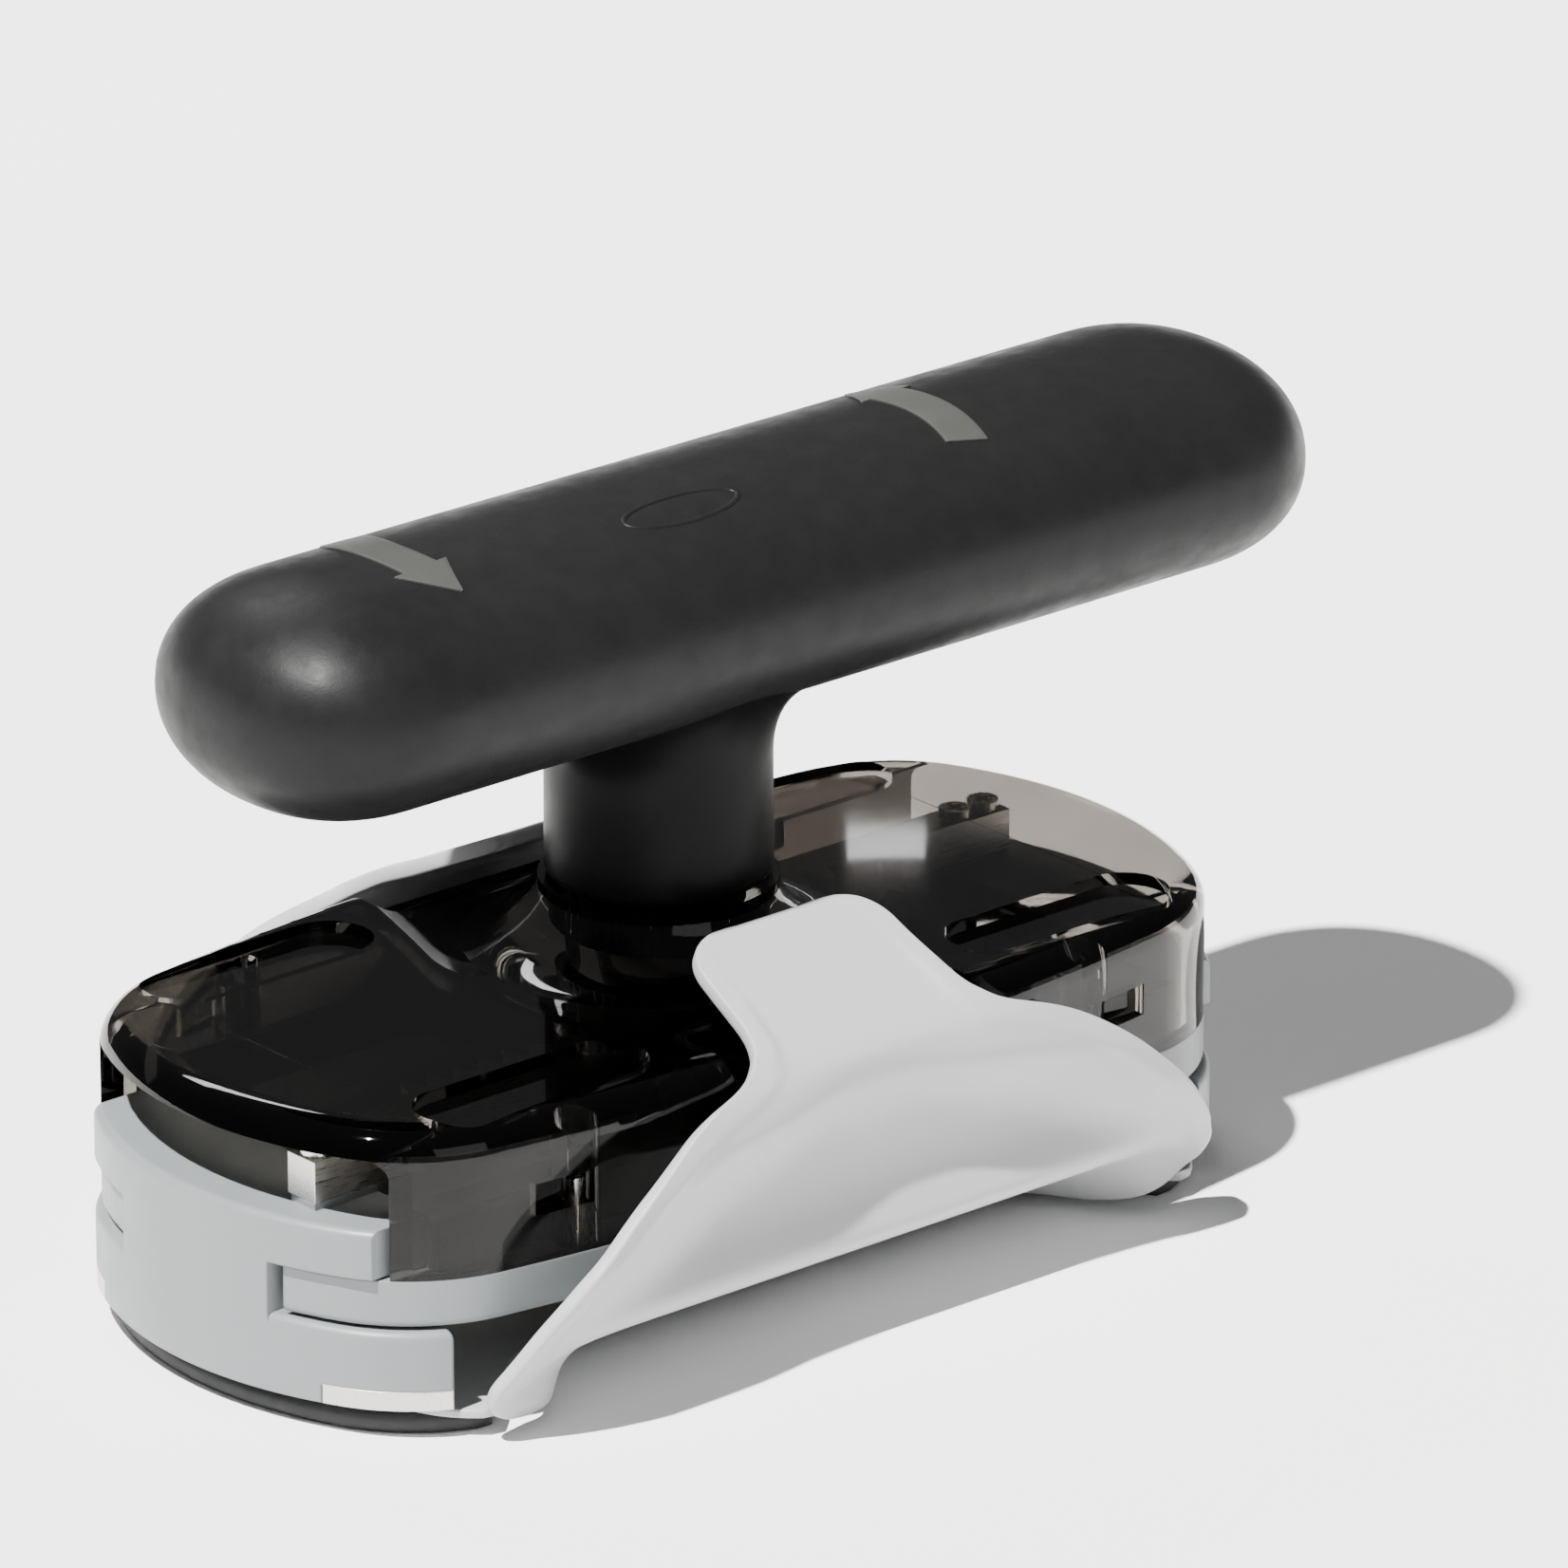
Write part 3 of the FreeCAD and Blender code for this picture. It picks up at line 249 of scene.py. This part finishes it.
# ------------------------------------------------------------------ mesh helpers
def mesh_object(name, vertices, faces, material, body):
    """Smooth mesh from points in mm; a piece with no body is left unattached."""
    mesh = bpy.data.meshes.new(name)
    mesh.from_pydata([tuple(c * MM for c in v) for v in vertices], [], faces)
    made = bmesh.new()
    made.from_mesh(mesh)
    bmesh.ops.recalc_face_normals(made, faces=made.faces)
    made.to_mesh(mesh)
    made.free()
    for face in mesh.polygons:
        face.use_smooth = True
    mesh.materials.append(material)
    piece = bpy.data.objects.new(name, mesh)
    bpy.context.scene.collection.objects.link(piece)
    if body:
        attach(piece, body)
    return piece


def loft(rings, closed=True, caps=True):
    """Quads between rings of equal length; caps close the first and last ring."""
    count = len(rings[0])
    vertices = [p for ring in rings for p in ring]
    faces = []
    span = count if closed else count - 1
    for r in range(len(rings) - 1):
        for i in range(span):
            a, b = r * count + i, r * count + (i + 1) % count
            faces.append((a, b, b + count, a + count))
    if caps:
        faces.append(tuple(range(count))[::-1])
        faces.append(tuple(range((len(rings) - 1) * count, len(rings) * count)))
    return vertices, faces


def smoothstep(a, b, x):
    t = min(max((x - a) / (b - a), 0.0), 1.0)
    return t * t * (3 - 2 * t)


def table_value(table, x):
    """Smooth (monotone cubic) lookup in a table of (x, value) with rising x."""
    if x <= table[0][0]:
        return table[0][1]
    if x >= table[-1][0]:
        return table[-1][1]
    slopes = [(q[1] - p[1]) / (q[0] - p[0]) for p, q in zip(table, table[1:])]

    def tangent(i):
        if i == 0:
            return slopes[0]
        if i == len(table) - 1:
            return slopes[-1]
        a, b = slopes[i - 1], slopes[i]
        return 0.0 if a * b <= 0 else 2 * a * b / (a + b)
    for i, (p, q) in enumerate(zip(table, table[1:])):
        if x <= q[0]:
            h = q[0] - p[0]
            t = (x - p[0]) / h
            return ((2 * t ** 3 - 3 * t ** 2 + 1) * p[1] + (t ** 3 - 2 * t ** 2 + t) * h * tangent(i)
                    + (3 * t ** 2 - 2 * t ** 3) * q[1] + (t ** 3 - t ** 2) * h * tangent(i + 1))


# ------------------------------------------------------------------ handle grip
grip_low, grip_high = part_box("handle_grip")
grip_centre = (grip_low + grip_high) / 2 / MM
grip_half = (grip_high - grip_low) / 2 / MM
GRIP_END = 19.5
SECTION_POWER = 2.12
END_POWER = 2.25
GRIP_COUNT = 112


def grip_scale(x):
    """Size of the section at x, as a share of the middle section."""
    past = abs(x - grip_centre.x) - (grip_half.x - GRIP_END)
    if past <= 0:
        return 1.0
    return max(1 - min(past / GRIP_END, 1.0) ** END_POWER, 0.0) ** (1 / END_POWER)


def grip_top(x, y):
    """Height of the grip's upper surface."""
    s = grip_scale(x)
    inside = max(1 - abs(y / (grip_half.y * s)) ** SECTION_POWER, 0.0)
    return grip_centre.z + grip_half.z * s * inside ** (1 / SECTION_POWER)


def section_ring(x, s):
    ring = []
    for i in range(GRIP_COUNT):
        a = 2 * math.pi * i / GRIP_COUNT
        c, n = math.cos(a), math.sin(a)
        radius = (abs(c) ** SECTION_POWER + abs(n) ** SECTION_POWER) ** (-1 / SECTION_POWER)
        ring.append((x, grip_half.y * s * radius * c, grip_centre.z + grip_half.z * s * radius * n))
    return ring


def build_grip():
    """Soft grip: one oval section, drawn in to rounded ends."""
    middle = [i / 30 for i in range(-30, 31)]
    straight = grip_half.x - GRIP_END
    stations = []
    for i in range(1, 25):
        a = math.pi / 2 * (1 - i / 24)
        share = math.sin(a) ** (2 / END_POWER)
        stations.append((-straight - GRIP_END * share * 0.9995, math.cos(a) ** (2 / END_POWER)))
    left = [(x, max(s, 0.004)) for x, s in stations]
    rings = [section_ring(grip_centre.x + x, s) for x, s in left]
    rings += [section_ring(grip_centre.x + straight * m, 1.0) for m in middle[1:-1]]
    rings += [section_ring(grip_centre.x - x, s) for x, s in reversed(left)]
    vertices, faces = loft(rings)
    piece = mesh_object("grip_body", vertices, faces, GRIP_BLACK, "turning_handle")
    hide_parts("handle_grip")


STEM_FLARE = 4.6
FLARE_START = 62.5


def build_stem():
    """Stem that swells into the underside of the grip."""
    stem_low, stem_high = (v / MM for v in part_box("stem"))
    radius = stem_high.x
    foot = stem_low.z
    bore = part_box("drive_shaft")[1].x / MM + 0.05
    rings = []
    count = 96
    for r, z in ((bore, foot), (radius - 1.0, foot), (radius - 0.45, foot + 0.12), (radius - 0.12, foot + 0.45),
                 (radius, foot + 1.0), (radius, foot + 4), (radius, foot + 9), (radius, FLARE_START - 1)):
        rings.append([(r * math.cos(2 * math.pi * i / count), r * math.sin(2 * math.pi * i / count), z)
                      for i in range(count)])
    steps = 12
    for k in range(steps + 1):
        t = k / steps
        ring = []
        for i in range(count):
            a = 2 * math.pi * i / count
            c, n = math.cos(a), math.sin(a)
            outer = radius + STEM_FLARE
            end_z = 2 * grip_centre.z - grip_top(outer * c, outer * n)
            near_z = 2 * grip_centre.z - grip_top((outer - 1) * c, (outer - 1) * n)
            slope = end_z - near_z
            p0 = (radius, FLARE_START)
            p3 = (outer, end_z + 0.12)
            p1 = (radius, FLARE_START + (end_z - FLARE_START) * 0.55)
            p2 = (outer - STEM_FLARE * 0.6, p3[1] - slope * STEM_FLARE * 0.6)
            weights = ((1 - t) ** 3, 3 * t * (1 - t) ** 2, 3 * t * t * (1 - t), t ** 3)
            r = sum(w * p[0] for w, p in zip(weights, (p0, p1, p2, p3)))
            z = sum(w * p[1] for w, p in zip(weights, (p0, p1, p2, p3)))
            ring.append((r * c, r * n, z))
        rings.append(ring)
    rings.append([(bore * math.cos(2 * math.pi * i / count), bore * math.sin(2 * math.pi * i / count),
                   stem_high.z) for i in range(count)])
    rings.append(rings[0])
    vertices, faces = loft(rings[:-1], caps=False)
    last, first = (len(rings) - 2) * count, 0
    faces += [(last + i, last + (i + 1) % count, (i + 1) % count, first + i) for i in range(count)]
    piece = mesh_object("stem_body", vertices, faces, STEM_BLACK_PAINTED_SHADE, "turning_handle")
    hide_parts("stem")


ARROW_RADIUS = 41.0
ARROW_HALF = 2.8
ARROW_HEAD_HALF = 4.3
ARROW_START, ARROW_NECK, ARROW_TIP = -15.5, 7.0, 15.9
ARROW_RAISE = 0.22


def build_arrow(name, turn):
    """Curved arrow, a little proud of the grip and let into it."""
    rows = [(ARROW_START + (ARROW_NECK - ARROW_START) * i / 28, ARROW_HALF) for i in range(29)]
    rows += [(ARROW_NECK + 0.05 + (ARROW_TIP - ARROW_NECK) * i / 12, ARROW_HEAD_HALF * (1 - i / 12) + 0.12)
             for i in range(13)]
    columns = 10
    grid = []
    for angle, half in rows:
        a = math.radians(angle + turn)
        row = []
        for j in range(columns + 1):
            r = ARROW_RADIUS + half * (2 * j / columns - 1)
            x, y = r * math.cos(a), r * math.sin(a)
            row.append((x, y, grip_top(x, y) + ARROW_RAISE))
        grid.append(row)
    vertices, faces = loft(grid, closed=False, caps=False)
    piece = mesh_object(name, vertices, faces, ARROW_GREY, "turning_handle")
    for face in piece.data.polygons:
        if face.normal.z < 0:
            face.flip()
    solid = piece.modifiers.new("depth", "SOLIDIFY")
    solid.thickness = 0.55 * MM
    solid.offset = -1
    edge = piece.modifiers.new("edge", "BEVEL")
    edge.width = 0.1 * MM
    edge.segments = 2
    edge.limit_method = "ANGLE"
    edge.angle_limit = math.radians(50)
    return piece


def build_oval_bead():
    """Plain oval bead moulded on the grip's crown, facing the front."""
    length, width, radius = 8.6, 2.7, 0.28
    centre_x, centre_y = -3.2, -8.0
    rings = []
    count = 72
    for k in range(count):
        a = 2 * math.pi * k / count
        x, y = centre_x + length * math.cos(a), centre_y + width * math.sin(a)
        ahead = a + 0.01
        nx, ny = centre_x + length * math.cos(ahead), centre_y + width * math.sin(ahead)
        p = Vector((x, y, grip_top(x, y)))
        tangent = (Vector((nx, ny, grip_top(nx, ny))) - p).normalized()
        normal = Vector((0, p.y / grip_half.y ** 2, (p.z - grip_centre.z) / grip_half.z ** 2)).normalized()
        side = tangent.cross(normal).normalized()
        rings.append([tuple(p + side * radius * 1.5 * math.cos(b) + normal * (radius * math.sin(b) - 0.08))
                      for b in (2 * math.pi * j / 10 for j in range(10))])
    rings.append(rings[0])
    vertices, faces = loft(rings, caps=False)
    piece = mesh_object("grip_oval", vertices, faces, GRIP_BLACK, "turning_handle")
    weld = piece.modifiers.new("weld", "WELD")
    weld.merge_threshold = 0.00001


build_grip()
build_stem()
arrow_right = build_arrow("turn_arrow_right", 0.0)
arrow_left = build_arrow("turn_arrow_left", 180.0)
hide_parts("turn_arrows")
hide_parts("turn_arrows")
build_oval_bead()


# ------------------------------------------------------------------ wings
WING_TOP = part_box("front_wing")[1].z / MM
# along the rim of the wing: height, distance out from the stem plane
RIM_OUT = [(1.3, 34.6), (2.4, 35.8), (5.9, 37.3), (9.2, 38.6), (12.9, 40.4), (17.6, 42.4), (22.3, 43.6),
           (27.9, 43.5),
           (31.0, 42.9), (33.2, 42.0), (35.5, 40.9), (36.9, 39.7), (37.8, 38.75), (39.2, 36.6), (40.8, 33.9),
           (42.4, 30.8), (44.1, 27.4), (45.9, 23.8), (47.6, 20.2)]
# down the middle of the wing: the side rising from the pad, the lip, the hollow, then the tab
HOLLOW_OUT = [(1.3, 20.0), (3.0, 23.6), (6.0, 29.6), (8.6, 34.8), (10.4, 38.4), (11.6, 40.4), (12.6, 41.4),
              (13.6, 41.5), (15.5, 40.9), (18.5, 39.8), (22.0, 39.1), (26.0, 38.9), (29.5, 39.6), (33.2, 40.7),
              (35.5, 40.7), (36.9, 39.7), (37.8, 38.75), (39.2, 36.6), (40.8, 33.9), (42.4, 30.8),
              (44.1, 27.4), (45.9, 23.8), (47.6, 20.2)]
# height, half length of the wing there
HALF_LENGTH = [(1.3, 50.5), (2.4, 54.6), (4.0, 56.8), (5.9, 57.2), (9.2, 55.4), (12.9, 53.4), (17.6, 49.8),
               (22.3, 45.4), (27.9, 39.1), (29.6, 36.9), (33.2, 31.4), (35.5, 26.3), (36.9, 21.4), (38.0, 18.5),
               (38.9, 17.0), (40.3, 16.0), (42.1, 15.5), (44.0, 15.1), (46.0, 14.8), (47.6, 14.6)]
# the lower corner on the far side of the pull tab is rounded off more
ROUNDED_LENGTH = [(1.3, 43.0), (3.0, 47.5), (5.0, 51.6), (7.6, 54.6), (9.2, 55.0), (12.9, 53.2)]
TAB_CORNER = 6.2
RIM_WIDTH = 2.9
RIM_RAISE = 0.45
WING_THICKNESS = 1.9
WING_FOOT = 1.3


def wing_heights():
    """Row heights spaced evenly along the profile."""
    fine = [(WING_FOOT + (WING_TOP - WING_FOOT) * i / 900) for i in range(901)]
    points = [(z, table_value(HOLLOW_OUT, z)) for z in fine]
    lengths = [0.0]
    for p, q in zip(points, points[1:]):
        lengths.append(lengths[-1] + math.hypot(q[0] - p[0], q[1] - p[1]))
    rows, k = [], 0
    count = 64
    for i in range(count + 1):
        goal = lengths[-1] * i / count
        while k < len(lengths) - 1 and lengths[k] < goal:
            k += 1
        rows.append((fine[k], lengths[-1] - lengths[k]))
    return rows


def rim_distance(x, z, outline):
    """Distance from a point of the wing to its free edge."""
    return min(math.hypot(x - a, z - b) for a, b in outline)


def build_wing(name, node, side):
    """Pale wing from the pad up to its pull tab."""
    outline = [(table_value(HALF_LENGTH, z), z) for z in (WING_FOOT + 45 * i / 160 for i in range(161))]
    columns = 72
    grid = []
    for z, from_end in wing_heights():
        half = table_value(HALF_LENGTH, z)
        if from_end < TAB_CORNER:
            k = 1 - from_end / TAB_CORNER
            half -= TAB_CORNER * (1 - math.sqrt(max(1 - k * k, 0.0)))
        row = []
        for j in range(columns + 1):
            u = math.sin(math.pi / 2 * (2 * j / columns - 1)) * 0.45 + (2 * j / columns - 1) * 0.55
            x = half * u
            if z < 12.9 and u * side < 0:
                x = table_value(ROUNDED_LENGTH, z) * u
            d = rim_distance(abs(x), z, outline) if z < 40 else half - abs(x)
            inner = smoothstep(2.0, 15.0, d)
            out = table_value(RIM_OUT, z) * (1 - inner) + table_value(HOLLOW_OUT, z) * inner
            raise_by = RIM_RAISE * (1 - smoothstep(RIM_WIDTH - 0.9, RIM_WIDTH + 0.9, d)) * smoothstep(5, 11, z)
            raise_by *= 1 - 0.75 * smoothstep(40, 44, z)
            outward, upward = (raise_by, 0) if z < 38 else (raise_by * 0.5, raise_by * 0.8)
            row.append((x, side * (out + outward), z + upward))
        grid.append(row)
    vertices, faces = loft(grid, closed=False, caps=False)
    piece = mesh_object(name, vertices, faces, WING_GREY, None)
    if sum(face.normal.y * side for face in piece.data.polygons) < 0:
        for face in piece.data.polygons:
            face.flip()
    solid = piece.modifiers.new("thickness", "SOLIDIFY")
    solid.thickness = WING_THICKNESS * MM
    solid.offset = -1
    smooth = piece.modifiers.new("smooth", "SUBSURF")
    smooth.levels = smooth.render_levels = 1
    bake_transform(piece)
    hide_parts(node)


build_wing("front_wing_skin", "front_wing", -1)
build_wing("back_wing_skin", "back_wing", 1)


# ------------------------------------------------------------------ base pad
END_ARC, CORNER_ARC, SIDE_ARC = 50.0, 21.0, 330.0
PAD_WAIST, SHEET_WAIST = 19.0, 23.0
PAD_ROUND, SHEET_ROUND = 0.9, 0.4


def oval(half_length, half_width):
    """Plan outline of the opener: end, corner and side arcs, one quarter mirrored twice."""
    re, rc, rs = END_ARC, CORNER_ARC, SIDE_ARC
    ex, sy = half_length - re, half_width - rs
    d = math.hypot(ex, sy)
    r1, r2 = re - rc, rs - rc
    along = (r1 * r1 - r2 * r2 + d * d) / (2 * d)
    across = math.sqrt(r1 * r1 - along * along)
    ux, uy = -ex / d, sy / d
    cx, cy = ex + along * ux - across * uy, along * uy + across * ux
    end_dir, side_dir = math.atan2(cy, cx - ex), math.atan2(cy - sy, cx)
    quarter = [(ex + re * math.cos(end_dir * i / 10), re * math.sin(end_dir * i / 10)) for i in range(11)]
    quarter += [(cx + rc * math.cos(end_dir + (side_dir - end_dir) * i / 10),
                 cy + rc * math.sin(end_dir + (side_dir - end_dir) * i / 10)) for i in range(1, 11)]
    quarter += [(rs * math.cos(a), sy + rs * math.sin(a))
                for a in (side_dir + (math.pi / 2 - side_dir) * i / 16 for i in range(1, 17))]
    ring = quarter[:-1]
    ring += [(-x, y) for x, y in reversed(quarter)][:-1]
    ring += [(-x, -y) for x, y in quarter][:-1]
    ring += [(x, -y) for x, y in reversed(quarter)][:-1]
    return ring


def slab_rings(ring_at, z0, z1, edge):
    """Rings of a slab with rounded rims; ring_at(inset) gives the plan outline."""
    rings = [[(x, y, z0) for x, y in ring_at(edge + 1.5)]]
    steps = 5
    for i in range(steps + 1):
        a = math.pi / 2 * i / steps
        inset, z = edge * (1 - math.sin(a)), z0 + edge * (1 - math.cos(a))
        rings.append([(x, y, z) for x, y in ring_at(inset)])
    for i in range(steps + 1):
        a = math.pi / 2 * (1 - i / steps)
        inset, z = edge * (1 - math.sin(a)), z1 - edge * (1 - math.cos(a))
        rings.append([(x, y, z) for x, y in ring_at(inset)])
    rings.append([(x, y, z1) for x, y in ring_at(edge + 1.5)])
    return rings


pad_low, pad_high = (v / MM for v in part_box("base_pad"))
def waisted(ring, waist):
    """Plan outline drawn in between the wings, where the pad's sides rise off the table."""
    drawn = []
    for x, y in ring:
        limit = waist + (pad_high.y - waist) * smoothstep(40, 60, abs(x))
        drawn.append((x, math.copysign(min(abs(y), limit), y)))
    return drawn


def pad_outline(inset):
    """The opener's own outline, waisted."""
    return waisted(oval(pad_high.x - inset, pad_high.y - inset), PAD_WAIST - inset)


vertices, faces = loft(slab_rings(pad_outline, pad_low.z, pad_high.z, PAD_ROUND))
pad_piece = mesh_object("base_pad_body", vertices, faces, PAD_BLACK, "pad")
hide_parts("base_pad")

sheet_low, sheet_high = (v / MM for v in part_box("pad_sheet"))


def sheet_outline(inset, corner=15.0):
    """Rounded rectangle, waisted like the pad, with points close enough to draw the waist."""
    x, y, ring = sheet_high.x - inset, sheet_high.y - inset, []
    corner -= inset
    for sx, sy, start in ((1, 1, 0), (-1, 1, 90), (-1, -1, 180), (1, -1, 270)):
        for i in range(13):
            a = math.radians(start + 90 * i / 12)
            ring.append((sx * (x - corner) + corner * math.cos(a), sy * (y - corner) + corner * math.sin(a)))
    dense = []
    for (x0, y0), (x1, y1) in zip(ring, ring[1:] + ring[:1]):
        steps = max(int(math.hypot(x1 - x0, y1 - y0) / 3), 1)
        dense += [(x0 + (x1 - x0) * i / steps, y0 + (y1 - y0) * i / steps) for i in range(steps)]
    return waisted(dense, SHEET_WAIST - inset)


vertices, faces = loft(slab_rings(sheet_outline, sheet_low.z + 0.01, sheet_high.z, SHEET_ROUND))
sheet_piece = mesh_object("pad_sheet_body", vertices, faces, WING_GREY, "pad")
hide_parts("pad_sheet")


# ------------------------------------------------------------------ studio
def floor_material():
    """White seamless paper."""
    finish = Finish("floor_white", 0.9, specular=0.1)
    finish.colour(finish.noise(3, 3), (0.94, 0.94, 0.94), (0.96, 0.96, 0.96))
    return finish.material


floor_mesh = bpy.data.meshes.new("floor")
FLOOR_REACH = 9.0
cells = 6
points = [(FLOOR_REACH * (2 * i / cells - 1), FLOOR_REACH * (2 * j / cells - 1), 0)
          for j in range(cells + 1) for i in range(cells + 1)]
row = cells + 1
quads = [(j * row + i, j * row + i + 1, (j + 1) * row + i + 1, (j + 1) * row + i)
         for j in range(cells) for i in range(cells)]
floor_mesh.from_pydata(points, [], quads)
floor_mesh.materials.append(floor_material())
floor = bpy.data.objects.new("floor", floor_mesh)
bpy.context.scene.collection.objects.link(floor)

# how far the sun's shadows drift for each unit of drop
SHADOW_DRIFT = Vector((0.49, 0.03, -1.0))
sun_data = bpy.data.lights.new("sun", "SUN")
sun_data.energy = 14.5
sun_data.angle = math.radians(1.6)
sun_data.color = (1.0, 0.985, 0.965)
sun = bpy.data.objects.new("sun", sun_data)
sun.rotation_euler = (-SHADOW_DRIFT).to_track_quat("Z", "Y").to_euler()
sun.location = (-0.5, 0, 1)
bpy.context.scene.collection.objects.link(sun)


def panel(name, direction, distance, size, energy, target):
    """Soft rectangular light standing off along a direction from its target."""
    data = bpy.data.lights.new(name, "AREA")
    data.shape = "RECTANGLE"
    data.size, data.size_y = size
    data.energy = energy
    light = bpy.data.objects.new(name, data)
    direction = Vector(direction).normalized()
    light.location = Vector(target) + direction * distance
    light.rotation_euler = direction.to_track_quat("Z", "Y").to_euler()
    bpy.context.scene.collection.objects.link(light)


panel("front_fill", (-0.15, -1.0, 0.45), 1.2, (0.7, 0.5), 1.6, (0, 0, 0.04))
panel("pane", (0.6125, 0.7046, 0.3584), 0.8, (0.014, 0.006), 0.0016, (0.0398, -0.005, 0.0386))
panel("strip", (0.2265, 0.7046, 0.678), 1.2, (0.45, 0.10), 3.0, (-0.067, -0.010, 0.037))

# dim grey surround, a little lighter overhead
world = bpy.data.worlds.new("studio")
world.use_nodes = True
bpy.context.scene.world = world
tree = world.node_tree
where = tree.nodes.new("ShaderNodeTexCoord")
split = tree.nodes.new("ShaderNodeSeparateXYZ")
ramp = tree.nodes.new("ShaderNodeValToRGB")
tree.links.new(where.outputs["Generated"], split.inputs[0])
tree.links.new(split.outputs["Z"], ramp.inputs["Fac"])
ramp.color_ramp.elements[0].position = 0.30
ramp.color_ramp.elements[0].color = (0.12, 0.12, 0.12, 1)
ramp.color_ramp.elements[1].position = 0.85
ramp.color_ramp.elements[1].color = (0.18, 0.18, 0.185, 1)
sky = tree.nodes["Background"]
tree.links.new(ramp.outputs["Color"], sky.inputs["Color"])
sky.inputs["Strength"].default_value = 1.0
